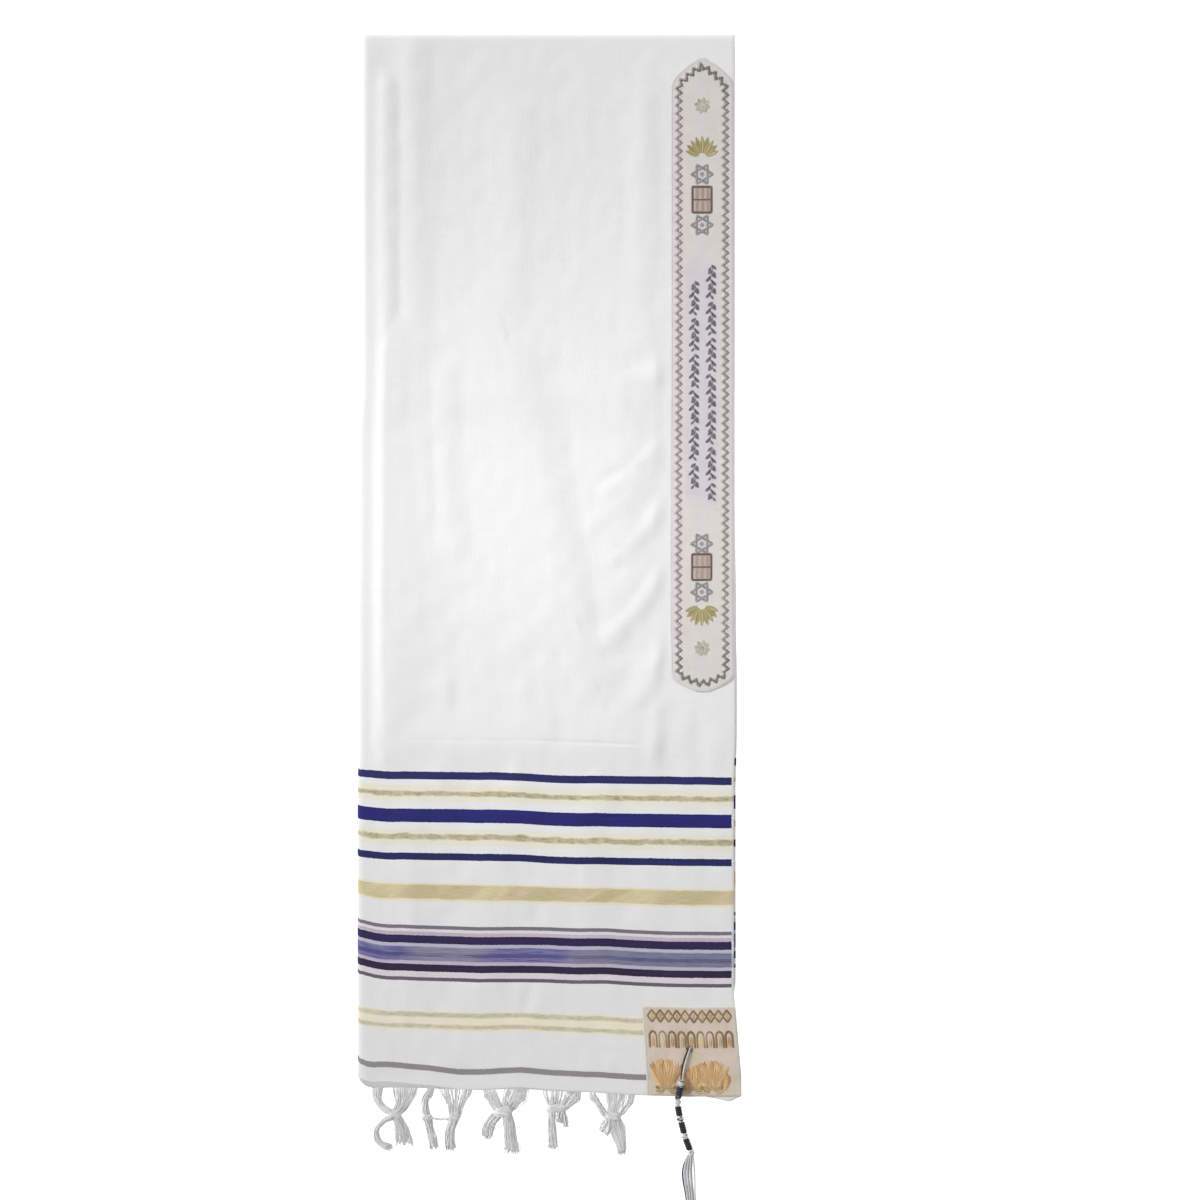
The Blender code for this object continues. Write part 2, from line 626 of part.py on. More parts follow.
def make_tzitzit(finish, collection):
    """Two doubled strings from the eyelet, the knotted and wound head, and eight loose ends."""
    head = np.array(HEAD)
    centre_z = patch_top(head[:, 0], head[:, 1]) + GAP + np.max(head[:, 2])
    pieces = [tube("head", np.column_stack([head[:, :2], centre_z]), head[:, 2], HEAD_SIDES_RESOLUTION,
                   collection)]
    apart, bow, close = STRING_APART
    for side in (-1.0, 1.0):
        share = np.linspace(0.0, 1.0, LOOSE_POINTS)
        bend = np.sin(np.pi * share)
        over = patch_top(EYELET_X, EYELET_Y)
        lying = over + GAP + STRING_RADIUS + STRAND_CLEAR
        x = EYELET_X + (head[1, 0] - EYELET_X) * share + side * (apart + bow * bend + close * share)
        y = EYELET_Y + (head[1, 1] - EYELET_Y) * share
        z = lying + (centre_z[1] - lying) * share ** 3
        path = np.column_stack([x - STRING_SWING * bend, y, z])
        in_eyelet = path[0] - np.array([0.0, 0.0, lying - over + PATCH_WALL])
        radii = np.full(LOOSE_POINTS + 1, STRING_RADIUS)
        pieces.append(tube("string", np.vstack([in_eyelet, path]), radii, 0, collection))
    last_x, last_y, last_z = head[-2, 0], head[-2, 1], centre_z[-2]
    for strand, (at_knot, spread, narrow, at_end, end_y, level) in enumerate(LOOSE_ENDS):
        low = STRING_RADIUS + STRAND_CLEAR + LEVEL_RISE * level
        at_spread, at_narrow, half_way, at_tip = np.array(LOOSE_SHIFTS) + last_x
        swing = (narrow + at_end) / 2 + LOOSE_WAVE * (-1) ** strand
        stations = [
            (last_x + at_knot, last_y + START_STAGGER * strand, last_z + LEVEL_RISE_AT_KNOT * (level - 0.5)),
            (at_spread + spread, LOOSE_SPREAD_Y, low + LOOSE_SPREAD_RISE),
            (at_narrow + narrow, LOOSE_NARROW_Y, low),
            (half_way + swing, (LOOSE_NARROW_Y + end_y) / 2, low),
            (at_tip + at_end, end_y, low),
        ]
        path = smooth_path(stations, LOOSE_POINTS)
        radii = np.full(LOOSE_POINTS, STRING_RADIUS)
        pieces.append(tube(f"loose_{strand}", path, radii, 0, collection))
    return fuse("tzitzit", pieces, True, finish, collection)


def main():
    parts, cutters = clear_scene()
    cloth = material("woven_cloth", (0.80, 0.79, 0.79), 0.85, 0.2)
    hidden_cloth = material("woven_cloth_hidden", (0.74, 0.73, 0.74), 0.88, 0.2)
    band_cloth = material("neckband_cloth", (0.70, 0.66, 0.65), 0.70, 0.2)
    patch_cloth = material("patch_cloth", (0.68, 0.58, 0.48), 0.65, 0.2)
    fringe_yarn = material("fringe_yarn", (0.68, 0.68, 0.69), 0.90, 0.3)
    string_yarn = material("string_yarn", (0.55, 0.55, 0.60), 0.75, 0.2)
    front = make_front(cloth, parts)
    make_under_layers(hidden_cloth, parts)
    make_neckband(band_cloth, parts)
    patch = make_patch(patch_cloth, parts)
    cut_eyelet([front, patch], cutters)
    for number, tassel in TASSELS.items():
        make_tassel(number, tassel, fringe_yarn, parts)
    make_tzitzit(string_yarn, parts)


main()
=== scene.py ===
# %% [markdown]
# # A striped prayer shawl, folded and laid flat
#
# The shawl is one long woven cloth. It is folded in half along its length, so the fold is at the left
# and the selvedges are at the right, and its upper rest is folded under at the top edge. A neckband
# and a corner patch are sewn on it, the warp ends are knotted into tassels, and knotted strings hang
# from an eyelet in the patch. Every piece below is a surface worked out with numpy from two numbers:
# `across`, the distance from the left fold, and `down`, the distance from the top fold, both in
# millimetres. A mesh is turned into metres only when it is made.

# %% Load the frame
import math

import bpy
import numpy as np
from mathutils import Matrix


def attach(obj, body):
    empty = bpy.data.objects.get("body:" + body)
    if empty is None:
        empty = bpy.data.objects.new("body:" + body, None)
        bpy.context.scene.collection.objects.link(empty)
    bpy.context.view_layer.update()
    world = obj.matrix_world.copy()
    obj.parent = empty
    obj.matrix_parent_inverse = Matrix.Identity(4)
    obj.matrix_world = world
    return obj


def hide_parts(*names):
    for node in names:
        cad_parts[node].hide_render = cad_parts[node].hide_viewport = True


MM = 0.001
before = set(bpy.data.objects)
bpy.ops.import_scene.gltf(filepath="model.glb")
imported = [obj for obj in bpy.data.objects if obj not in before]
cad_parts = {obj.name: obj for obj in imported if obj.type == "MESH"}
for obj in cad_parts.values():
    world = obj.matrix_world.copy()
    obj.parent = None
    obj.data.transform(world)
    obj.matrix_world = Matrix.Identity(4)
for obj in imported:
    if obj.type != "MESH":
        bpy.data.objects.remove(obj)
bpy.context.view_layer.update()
print("nodes:", sorted(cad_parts))

# %% [markdown]
# ## Camera, floor and light
#
# The picture looks straight down, so one pixel is the same length everywhere on the floor. A long
# lens keeps the cloth's height from widening it. The key light, a broad sun, stands at the left,
# because the left side of each fold is the bright one, with a faint fill from the right. Three spots
# make pools of light over the cloth, and an even pale world fills the rest.

# %% Camera straight above the floor
PIXEL = 1.25
PICTURE = 1200
ORIGIN_PIXEL = (549.5, 649.0)
LENS = 85.0
SENSOR = 36.0


def add_object(name, data):
    """Put a data block into the scene as an object."""
    thing = bpy.data.objects.new(name, data)
    bpy.context.scene.collection.objects.link(thing)
    return thing


camera = add_object("camera", bpy.data.cameras.new("camera"))
camera.data.lens = LENS
camera.data.sensor_width = SENSOR
camera.location = ((PICTURE / 2 - ORIGIN_PIXEL[0]) * PIXEL * MM,
                   (ORIGIN_PIXEL[1] - PICTURE / 2) * PIXEL * MM,
                   PICTURE * PIXEL * MM * LENS / SENSOR)
bpy.context.scene.camera = camera
bpy.context.scene.view_settings.view_transform = "Standard"
print("camera height:", round(camera.location.z, 3), "m")

# %% Key light from the left, faint fill from the right, three pools and a pale world
KEY_TILT = 64.0
KEY_TURN = 26.0
KEY_SPREAD = 20.0
KEY_STRENGTH = 2.74
FILL_TILT = 65.0
FILL_SPREAD = 60.0
FILL_STRENGTH = 0.45
POOLS = [
    # x, y, width of the cone in degrees, softness of its edge, power in watts
    (-0.02, 0.62, 44.0, 1.0, 14.0),
    (-0.05, 0.12, 30.0, 1.0, 18.0),
    (-0.06, 0.16, 18.5, 0.7, 27.0),
]
POOL_HEIGHT = 2.2
POOL_SIZE = 0.25
WORLD_STRENGTH = 0.405

key = add_object("key_light", bpy.data.lights.new("key_light", "SUN"))
key.data.angle = math.radians(KEY_SPREAD)
key.data.energy = KEY_STRENGTH
key.rotation_euler = (0.0, -math.radians(KEY_TILT), -math.radians(KEY_TURN))
fill = add_object("fill_light", bpy.data.lights.new("fill_light", "SUN"))
fill.data.angle = math.radians(FILL_SPREAD)
fill.data.energy = FILL_STRENGTH
fill.rotation_euler = (0.0, math.radians(FILL_TILT), 0.0)
for pool_x, pool_y, cone, softness, power in POOLS:
    pool = add_object("pool_light", bpy.data.lights.new("pool_light", "SPOT"))
    pool.data.spot_size = math.radians(cone)
    pool.data.spot_blend = softness
    pool.data.shadow_soft_size = POOL_SIZE
    pool.data.energy = power
    pool.location = (pool_x, pool_y, POOL_HEIGHT)
    pool.visible_camera = False
world = bpy.data.worlds.new("studio")
world.use_nodes = True
world.node_tree.nodes["Background"].inputs["Color"].default_value = (1.0, 1.0, 1.0, 1.0)
world.node_tree.nodes["Background"].inputs["Strength"].default_value = WORLD_STRENGTH
bpy.context.scene.world = world
print("key light", KEY_STRENGTH, "W/m2,", len(POOLS), "pools, world", WORLD_STRENGTH)

# %% [markdown]
# ## Small helpers for nodes
#
# A material is a graph of shader nodes. `add` makes one node and sets or links its sockets in one
# line, so each finish below reads like a recipe. Colours are written as they look on a screen, from
# 0 to 255, and `paint` turns them into the linear values that the shader works with.

# %% Colours and shader nodes


def paint(red, green, blue):
    """Linear colour of a screen colour, by the sRGB curve."""
    shares = np.array([red, green, blue]) / 255.0
    linear = np.where(shares <= 0.04045, shares / 12.92, ((shares + 0.055) / 1.055) ** 2.4)
    return (*linear.tolist(), 1.0)


def add(tree, kind, inputs=(), **settings):
    """One shader node. inputs are pairs of a socket and either a value or the output that feeds it."""
    made = tree.nodes.new("ShaderNode" + kind)
    for name, value in settings.items():
        setattr(made, name, value)
    for socket, value in inputs:
        if isinstance(value, bpy.types.Node):
            value = value.outputs[0]
        if isinstance(value, bpy.types.NodeSocket):
            tree.links.new(value, made.inputs[socket])
        else:
            made.inputs[socket].default_value = value
    return made


def set_stops(ramp, stops):
    """Give a new colour ramp its stops, in order. stops: position, colour."""
    elements = ramp.color_ramp.elements
    elements.remove(elements[1])
    for step, (position, colour) in enumerate(stops):
        stop = elements[0] if step == 0 else elements.new(position)
        stop.position = position
        stop.color = colour


def add_stops(ramp, stops):
    """Add stops to a colour ramp and take out its last one."""
    for position, colour in stops:
        stop = ramp.color_ramp.elements.new(position)
        stop.color = colour
    ramp.color_ramp.elements.remove(ramp.color_ramp.elements[-1])


def laid_axes(tree):
    """The cloth's own coordinates, then each of the two by itself."""
    laid = add(tree, "UVMap", uv_map="laid")
    axes = add(tree, "SeparateXYZ", [(0, laid)])
    return laid, axes.outputs[0], axes.outputs[1]


def sum_up(tree, operation, first, second=0.0, third=0.0, clamp=False):
    """One Math node."""
    return add(tree, "Math", [(0, first), (1, second), (2, third)], operation=operation, use_clamp=clamp)


def blend_colour(tree, factor, under, over, mode="MIX"):
    """Output of a Mix node for colours."""
    made = add(tree, "Mix", data_type="RGBA", blend_type=mode, inputs=[(0, factor), (6, under), (7, over)])
    return made.outputs[2]


def grain(tree, place, stretch, detail=2.0, roughness=0.5):
    """Noise, from 0 to 1, whose grains are as long along each axis as 1 / stretch."""
    moved = add(tree, "VectorMath", [(0, place), (1, stretch)], operation="MULTIPLY")
    return add(tree, "TexNoise", [("Vector", moved), ("Scale", 1.0), ("Detail", detail),
                                  ("Roughness", roughness)])


def spread(tree, value, low, high, new_low, new_high):
    """Map a value from one range to another, held at the ends."""
    return add(tree, "MapRange", [("Value", value), ("From Min", low), ("From Max", high),
                                  ("To Min", new_low), ("To Max", new_high)])


def new_finish(name, roughness, specular=0.3, sheen=0.0):
    """A material with its tree and its Principled shader."""
    finish = bpy.data.materials.new(name)
    finish.use_nodes = True
    tree = finish.node_tree
    shader = tree.nodes["Principled BSDF"]
    shader.inputs["Roughness"].default_value = roughness
    shader.inputs["Specular IOR Level"].default_value = specular
    shader.inputs["Sheen Weight"].default_value = sheen
    shader.inputs["Sheen Roughness"].default_value = 0.5
    return finish, tree, shader


def raise_up(tree, shader, height, distance, strength=1.0):
    """Bump from a height, in metres for a height of 1."""
    bump = add(tree, "Bump", [("Height", height), ("Distance", distance), ("Strength", strength)])
    tree.links.new(bump.outputs[0], shader.inputs["Normal"])


# %% Plain floor
FLOOR_SIZE = 12.0
FLOOR_PAINT = paint(245, 245, 245)
FLOOR_GLOW = 0.72

bpy.ops.mesh.primitive_plane_add(size=FLOOR_SIZE)
floor = bpy.context.active_object
floor.name = "floor"
floor_finish, tree, shader = new_finish("floor_paint", 0.9)
shader.inputs["Base Color"].default_value = FLOOR_PAINT
shader.inputs["Emission Color"].default_value = (1.0, 1.0, 1.0, 1.0)
shader.inputs["Emission Strength"].default_value = FLOOR_GLOW
floor.data.materials.append(floor_finish)
print("floor", FLOOR_SIZE, "m wide")

# %% [markdown]
# ## The laid cloth as two functions
#
# `plan` says where a place on the cloth lies on the floor: the left fold and the selvedges run a bit
# in and out, and the hem hangs lower at the right than at the left. `cloth_height` says how high the
# upper face lies there: over three hidden layers near the top, over one further down and on the
# floor at the hem, with the soft folds on top. The tables hold one row for each bend or fold.

# %% Outline and height of the laid cloth
PANEL_WIDTH = 470.0
HEM_DOWN = 1320.0
TUCK_END = 460.0
LEFT = -240.0
RIGHT = 240.0
TOP = 768.9
WALL = 1.3
LAYER = 1.2
GAP = 0.3
FOLD_RADIUS = 9.0
BACK_HEM = 1290.0
TUCK_SLOPE = (-15.0, 42.0)
HEM_SLOPE = 13.0
CORNER_LIFT = 0.8
CORNER_LIFT_WIDTH = 25.0
# Last lines of the grids, short of the rounded rim
LAST_ACROSS = 469.3
LAST_DOWN = 1319.3

# Columns: down, inset from LEFT
LEFT_EDGE = [(0, 5.6), (30, 4.9), (450, 4.4), (495, 2.0), (750, 0.9), (905, 1.9), (945, 0.0), (1320, 0.0)]
# Columns: down, inset from RIGHT
RIGHT_EDGE = [(0, 9.1), (740, 9.1), (800, 8.0), (870, 8.0), (930, 9.8), (1190, 9.8), (1211, 7.4), (1295, 0.3),
              (1320, 0.0)]
# Columns: x from LEFT, length of the cloth from the top fold to the hem there
HEM_LINE = [(0, 1301.6), (4, 1309.6), (11, 1315.6), (21, 1317.6), (53, 1316.6), (103, 1318.6), (153, 1320.1),
            (203, 1318.6), (253, 1321.6), (303, 1323.6), (348, 1326.6), (416, 1328.6), (480, 1327.6)]
# Columns: down, how far the back selvedge looks out past the front
BACK_SELVEDGE = [(0, 0.9), (600, 0.9), (690, 2.4), (1180, 2.6), (1211, -3.0), (1320, -3.0)]
# A bit of the hem hangs out below the patch. Columns: across, how far
HEM_BULGE = [(425, 0.0), (440, 3.0), (455, 7.0), (470, 0.0)]
FOLDS = [
    # across, down, across, down, rise, half width
    (33, 70, 33, 900, 2.6, 16),
    (65, 20, 68, 360, 2.2, 20),
    (200, 105, 178, 367, 1.8, 28),
    (352, 85, 350, 380, 1.4, 18),
    (190, 405, 232, 567, 3.6, 30),
    (232, 567, 272, 717, 3.8, 28),
    (272, 717, 292, 790, 2.2, 24),
    (108, 420, 118, 640, 2.0, 24),
    (385, 425, 330, 432, 2.8, 15),
    (380, 515, 310, 570, 3.4, 16),
    (385, 590, 322, 655, 3.0, 16),
    (382, 672, 315, 752, 3.0, 16),
    (385, 760, 350, 830, 2.4, 15),
    (26, 886, 375, 886, 1.2, 16),
    (106, 817, 100, 930, 1.8, 20),
    (206, 830, 200, 942, 1.8, 20),
    (302, 830, 306, 955, 1.6, 20),
    (60, 990, 64, 1180, 1.0, 26),
    (172, 1000, 166, 1190, 0.9, 30),
    (286, 985, 292, 1170, 1.1, 28),
]
WIDE_FOLDS = [
    # across, down, across, down, rise, half width at the left, half width at the right
    (33, 400, 33, 860, 4.0, 16, 52),
    (190, 405, 232, 567, 3.6, 76, 32),
    (232, 567, 272, 717, 3.8, 76, 30),
    (272, 717, 292, 790, 2.4, 60, 26),
    (334, 450, 330, 700, 2.4, 50, 34),
    (26, 884, 375, 884, 3.2, 30, 46),
]
FOLDS_FADE_IN = (12.0, 30.0)
FOLDS_FADE_OUT = (368.0, 388.0)


def read_table(table, place):
    """Second column of a two-column table at a place along its first column."""
    columns = np.array(table, dtype=float)
    return np.interp(place, columns[:, 0], columns[:, 1])


def ease(value, start, end):
    """Rise smoothly from 0 at start to 1 at end."""
    share = np.clip((value - start) / (end - start), 0.0, 1.0)
    return share * share * (3.0 - 2.0 * share)


def plan(across, down):
    """x and y of a place: between the two edges by its share of the width, down by the hem's length."""
    left = LEFT + read_table(LEFT_EDGE, down)
    right = RIGHT - read_table(RIGHT_EDGE, down)
    x = left + (right - left) * across / PANEL_WIDTH
    return x, TOP - down * read_table(HEM_LINE, x - LEFT) / HEM_DOWN


def down_at(x, y):
    """How far down the cloth a point of the plan lies."""
    return (TOP - y) * HEM_DOWN / read_table(HEM_LINE, x - LEFT)


def off_line(across, down, row):
    """Distance from a place to the stretch of line that a table row starts with."""
    across_a, down_a, across_b, down_b = row[:4]
    run_across = across_b - across_a
    run_down = down_b - down_a
    along = (across - across_a) * run_across + (down - down_a) * run_down
    along = np.clip(along / (run_across ** 2 + run_down ** 2), 0.0, 1.0)
    return np.hypot(across - across_a - along * run_across, down - down_a - along * run_down)


def fold_rise(across, down):
    """Height of the soft folds: each is a rounded ridge along a line, highest on the line."""
    rise = np.zeros(np.broadcast(across, down).shape)
    for row in FOLDS:
        rise = np.maximum(rise, row[4] * np.exp(-(off_line(across, down, row) / row[5]) ** 2))
    for row in WIDE_FOLDS:
        turned = (across - row[0]) * (row[3] - row[1]) - (down - row[1]) * (row[2] - row[0])
        half_width = np.where(turned > 0, row[6], row[5])
        rise = np.maximum(rise, row[4] * np.exp(-(off_line(across, down, row) / half_width) ** 2))
    return rise * ease(across, *FOLDS_FADE_IN) * (1.0 - ease(across, *FOLDS_FADE_OUT))


def layers_below(across, down):
    """Height of the hidden layers: three at the top, one below, none at the hem."""
    height = 3 * LAYER + GAP - 2 * LAYER * ease(down, TUCK_END + TUCK_SLOPE[0], TUCK_END + TUCK_SLOPE[1])
    to_floor = ease(down, BACK_HEM, BACK_HEM + HEM_SLOPE)
    corner = CORNER_LIFT * (1.0 - ease(across, FOLD_RADIUS, CORNER_LIFT_WIDTH))
    return height * (1.0 - to_floor) + corner * to_floor


def cloth_height(across, down):
    """Height of the upper layer's outer face over the floor, without its creases."""
    return layers_below(across, down) + WALL + fold_rise(across, down)


print("hem at the left fold:", [round(float(part), 1) for part in plan(0.0, HEM_DOWN)])

# %% [markdown]
# ## Creases
#
# The folds above are broad. What makes cloth look like cloth are the small sharp creases between
# them: an arc of puckers beside the neckband, a pressed line across the whole width above the
# stripes and a few wrinkles near the hem. Each row of the table is one crease, a ridge or with a
# minus a trough. A faint swell, made from a few dozen waves with unlike directions,
# keeps the flat stretches from being dead flat.

# %% Fine creases
CREASES = [
    # across, down, across, down, rise, half width
    (381, 492, 372, 525, -1.0, 8),
    (372, 525, 356, 541, -1.1, 7),
    (356, 541, 322, 546, -1.1, 6),
    (322, 546, 300, 566, -0.9, 6),
    (356, 556, 290, 616, 1.5, 12),
    (352, 552, 326, 568, 0.8, 7),
    (330, 410, 345, 470, -0.9, 10),
    (366, 380, 372, 440, 0.9, 8),
    (356, 600, 364, 652, -1.2, 10),
    (352, 658, 313, 673, -0.9, 6),
    (352, 676, 338, 690, 0.9, 6),
    (390, 768, 346, 796, 1.0, 7),
    (377, 757, 325, 774, -0.8, 6),
    (392, 820, 374, 842, 1.1, 7),
    (372, 700, 366, 752, -0.6, 9),
    (200, 808, 219, 778, -0.8, 9),
    (219, 778, 250, 776, -0.8, 8),
    (250, 776, 270, 816, -0.8, 9),
    (60, 883.6, 220, 883.4, -0.7, 2.0),
    (220, 883.4, 345, 883.8, -1.3, 2.2),
    (31, 360, 31, 720, 0.8, 5),
    (80, 500, 86, 590, 1.4, 12),
    (124, 757, 121, 842, -1.3, 12),
    (86, 690, 96, 800, -0.7, 12),
    (250, 822, 252, 884, -0.9, 12),
    (360, 822, 356, 886, -1.0, 13),
    (402, 850, 404, 890, 0.9, 10),
    (448, 850, 446, 905, 0.7, 11),
    (425, 858, 426, 905, -0.6, 9),
    (30, 702, 52, 690, 0.4, 5),
    (28, 860, 48, 862, 0.4, 4),
    (92, 470, 106, 560, 1.0, 12),
    (120, 520, 136, 610, -0.9, 12),
    (62, 420, 72, 640, -0.7, 12),
    (219, 1190, 207, 1221, -0.9, 6),
    (233, 1188, 220, 1221, 0.6, 10),
    (37, 1250, 86, 1284, -0.9, 9),
    (58, 1248, 100, 1276, 0.5, 9),
    (212, 1269, 258, 1263, 0.45, 4),
    (219, 1279, 262, 1274, 0.45, 4),
    (298, 1262, 340, 1256, 0.4, 5),
    (306, 1278, 342, 1272, 0.4, 5),
    (156, 1312, 176, 1298, -0.6, 4),
    (92, 948, 96, 968, -0.7, 9),
    (150, 940, 146, 1000, 0.5, 10),
    (330, 945, 336, 968, -0.7, 10),
    (62, 1086, 76, 1110, 0.5, 8),
    (236, 1096, 246, 1112, 0.5, 6),
    (322, 1040, 330, 1112, -0.6, 14),
    (366, 1045, 372, 1108, 0.5, 12),
    (412, 950, 418, 1100, 0.5, 14),
    (440, 1040, 436, 1190, -0.5, 14),
    (20, 1186, 60, 1180, 0.4, 6),
    (118, 1198, 170, 1186, 0.5, 6),
    (286, 1192, 300, 1240, -0.5, 12),
    (340, 90, 336, 250, -0.6, 14),
    (368, 60, 366, 300, 0.5, 10),
    (250, 40, 254, 130, -0.5, 16),
    (130, 30, 128, 120, -0.6, 14),
]
CREASE_SHARE = 0.5
SWELL_SEED = 11
SWELL_WAVES = 30
SWELL_RISE = 0.042
SWELL_LENGTHS = (22.0, 95.0)
# Where the creases fade out: beside the neckband and below it, at the patch, and at the edges
BY_BAND = ((374, 388), (818, 836))
BY_PATCH = ((338, 352), (1196, 1212))
BY_FOLDS = (10, 26)
BY_SELVEDGE = (455, 468)
BY_HEM = (1298, 1316)


def swell(across, down):
    """Sum of plane waves with seeded directions, lengths and phases."""
    draw = np.random.default_rng(SWELL_SEED)
    turn = draw.uniform(0.0, 2 * np.pi, SWELL_WAVES)
    length = draw.uniform(*SWELL_LENGTHS, SWELL_WAVES)
    phase = draw.uniform(0.0, 2 * np.pi, SWELL_WAVES)
    height = np.zeros(np.broadcast(across, down).shape)
    for angle, wave, start in zip(turn, length, phase):
        along = across * math.cos(angle) + down * math.sin(angle)
        height = height + SWELL_RISE * np.sin(2 * np.pi * along / wave + start)
    return height


def bare_cloth(across, down):
    """1 where nothing is sewn on the cloth, and 0 under the neckband, under the patch and at the edges."""
    under_band = ease(across, *BY_BAND[0]) * (1.0 - ease(down, *BY_BAND[1]))
    under_patch = ease(across, *BY_PATCH[0]) * ease(down, *BY_PATCH[1])
    inside = ease(across, *BY_FOLDS) * ease(down, *BY_FOLDS)
    inside = inside * (1.0 - ease(across, *BY_SELVEDGE)) * (1.0 - ease(down, *BY_HEM))
    return (1.0 - under_band) * (1.0 - under_patch) * inside


def crease_rise(across, down):
    """Height of the fine creases and the swell."""
    rise = swell(across, down)
    for row in CREASES:
        rise = rise + CREASE_SHARE * row[4] * np.exp(-(off_line(across, down, row) / row[5]) ** 2)
    return rise * bare_cloth(across, down)


print("creases:", len(CREASES), "and folds:", len(FOLDS))

# %% [markdown]
# ## From grids to closed walls
#
# A wall of cloth is two grids of points, the outer and the inner face, joined by a rounded rim. The
# helper below finds the points round the grid's border, puts three rings of points between both
# faces on a half circle and joins it all into one closed surface. Doing it by hand, and not with a
# Solidify modifier, gives the rim a round edge and keeps the cloth's own coordinates on every face.

# %% Grids, walls and meshes
RIM_TURNS = np.radians([45.0, 0.0, -45.0])


def grid_quads(rows, columns, first=0):
    """Corners of each cell of a grid, counted so that a grid whose rows run towards -y faces up."""
    row, column = np.meshgrid(np.arange(rows - 1), np.arange(columns - 1), indexing="ij")
    corner = (first + row * columns + column).ravel()
    return np.column_stack([corner, corner + columns, corner + columns + 1, corner + 1])


def rim_of(rows, columns):
    """Rows and columns of the points round a grid: down the left, along the end, up the right, back."""
    left = np.column_stack([np.arange(rows - 1), np.zeros(rows - 1, int)])
    end = np.column_stack([np.full(columns - 1, rows - 1), np.arange(columns - 1)])
    right = np.column_stack([np.arange(rows - 1, 0, -1), np.full(rows - 1, columns - 1)])
    start = np.column_stack([np.zeros(columns - 1, int), np.arange(columns - 1, 0, -1)])
    return np.vstack([left, end, right, start]).T


def outward(grid, rows, columns, round_out):
    """Flat direction away from the grid at each point of its rim, as long as that side's distance."""
    left, end, right, start = round_out
    height, width = grid.shape[:2]
    sides = ((columns == 0, rows, np.minimum(columns + 1, width - 1), left),
             (rows == height - 1, np.maximum(rows - 1, 0), columns, end),
             (columns == width - 1, rows, np.maximum(columns - 1, 0), right),
             (rows == 0, np.minimum(rows + 1, height - 1), columns, start))
    out = np.zeros((len(rows), 3))
    for there, inner_row, inner_column, distance in sides:
        away = grid[rows, columns] - grid[inner_row, inner_column]
        away[:, 2] = 0.0
        away /= np.maximum(np.linalg.norm(away, axis=1), 1e-9)[:, None]
        out += away * (there * distance)[:, None]
    return out


def closed_wall(upper, lower, round_out, laid, laid_below=None):
    """Points, faces and cloth coordinates of a wall between two grids, with a rounded rim."""
    rows, columns = upper.shape[:2]
    count = rows * columns
    rim_rows, rim_columns = rim_of(rows, columns)
    over = upper[rim_rows, rim_columns]
    under = lower[rim_rows, rim_columns]
    out = outward(upper, rim_rows, rim_columns, round_out)
    rings = [(over + under) / 2 + (over - under) / 2 * math.sin(turn) + out * math.cos(turn)
             for turn in RIM_TURNS]
    border = rim_rows * columns + rim_columns
    around = len(border)
    chain = [border] + [2 * count + ring * around + np.arange(around) for ring in range(len(rings))]
    chain.append(count + border)
    sides = [np.column_stack([top, bottom, np.roll(bottom, -1), np.roll(top, -1)])
             for top, bottom in zip(chain[:-1], chain[1:])]
    points = np.vstack([upper.reshape(-1, 3), lower.reshape(-1, 3), *rings])
    faces = np.vstack([grid_quads(rows, columns), grid_quads(rows, columns, count)[:, ::-1], *sides])
    below = laid if laid_below is None else laid_below
    rim_laid = laid[rim_rows, rim_columns]
    coordinates = np.vstack([laid.reshape(-1, 2), below.reshape(-1, 2), *([rim_laid] * len(rings))])
    return points, [faces], coordinates


def build(name, points, faces, laid=None, tint=None):
    """A mesh object from points in millimetres, with its cloth coordinates or its thread colours."""
    mesh = bpy.data.meshes.new(name)
    mesh.from_pydata((points * MM).tolist(), [], [face for kind in faces for face in kind.tolist()])
    if laid is not None:
        corners = np.concatenate([kind.ravel() for kind in faces])
        mesh.uv_layers.new(name="laid").data.foreach_set("uv", (laid[corners] * MM).ravel())
    if tint is not None:
        full = np.column_stack([tint, np.ones(len(tint))])
        mesh.color_attributes.new("tint", "FLOAT_COLOR", "POINT").data.foreach_set("color", full.ravel())
    mesh.shade_smooth()
    return add_object(name, mesh)


def dress(piece, finish, slot, *nodes):
    """Give a piece its finish, its body and the nodes that it stands for, and print its size. slot: not used.
    """
    piece.data.materials.append(finish)
    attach(piece, "root")
    if nodes:
        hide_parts(*nodes)
    triangles = sum(len(face.vertices) - 2 for face in piece.data.polygons)
    print(piece.name, [round(side * 1000, 1) for side in piece.dimensions], "mm,", triangles, "triangles")
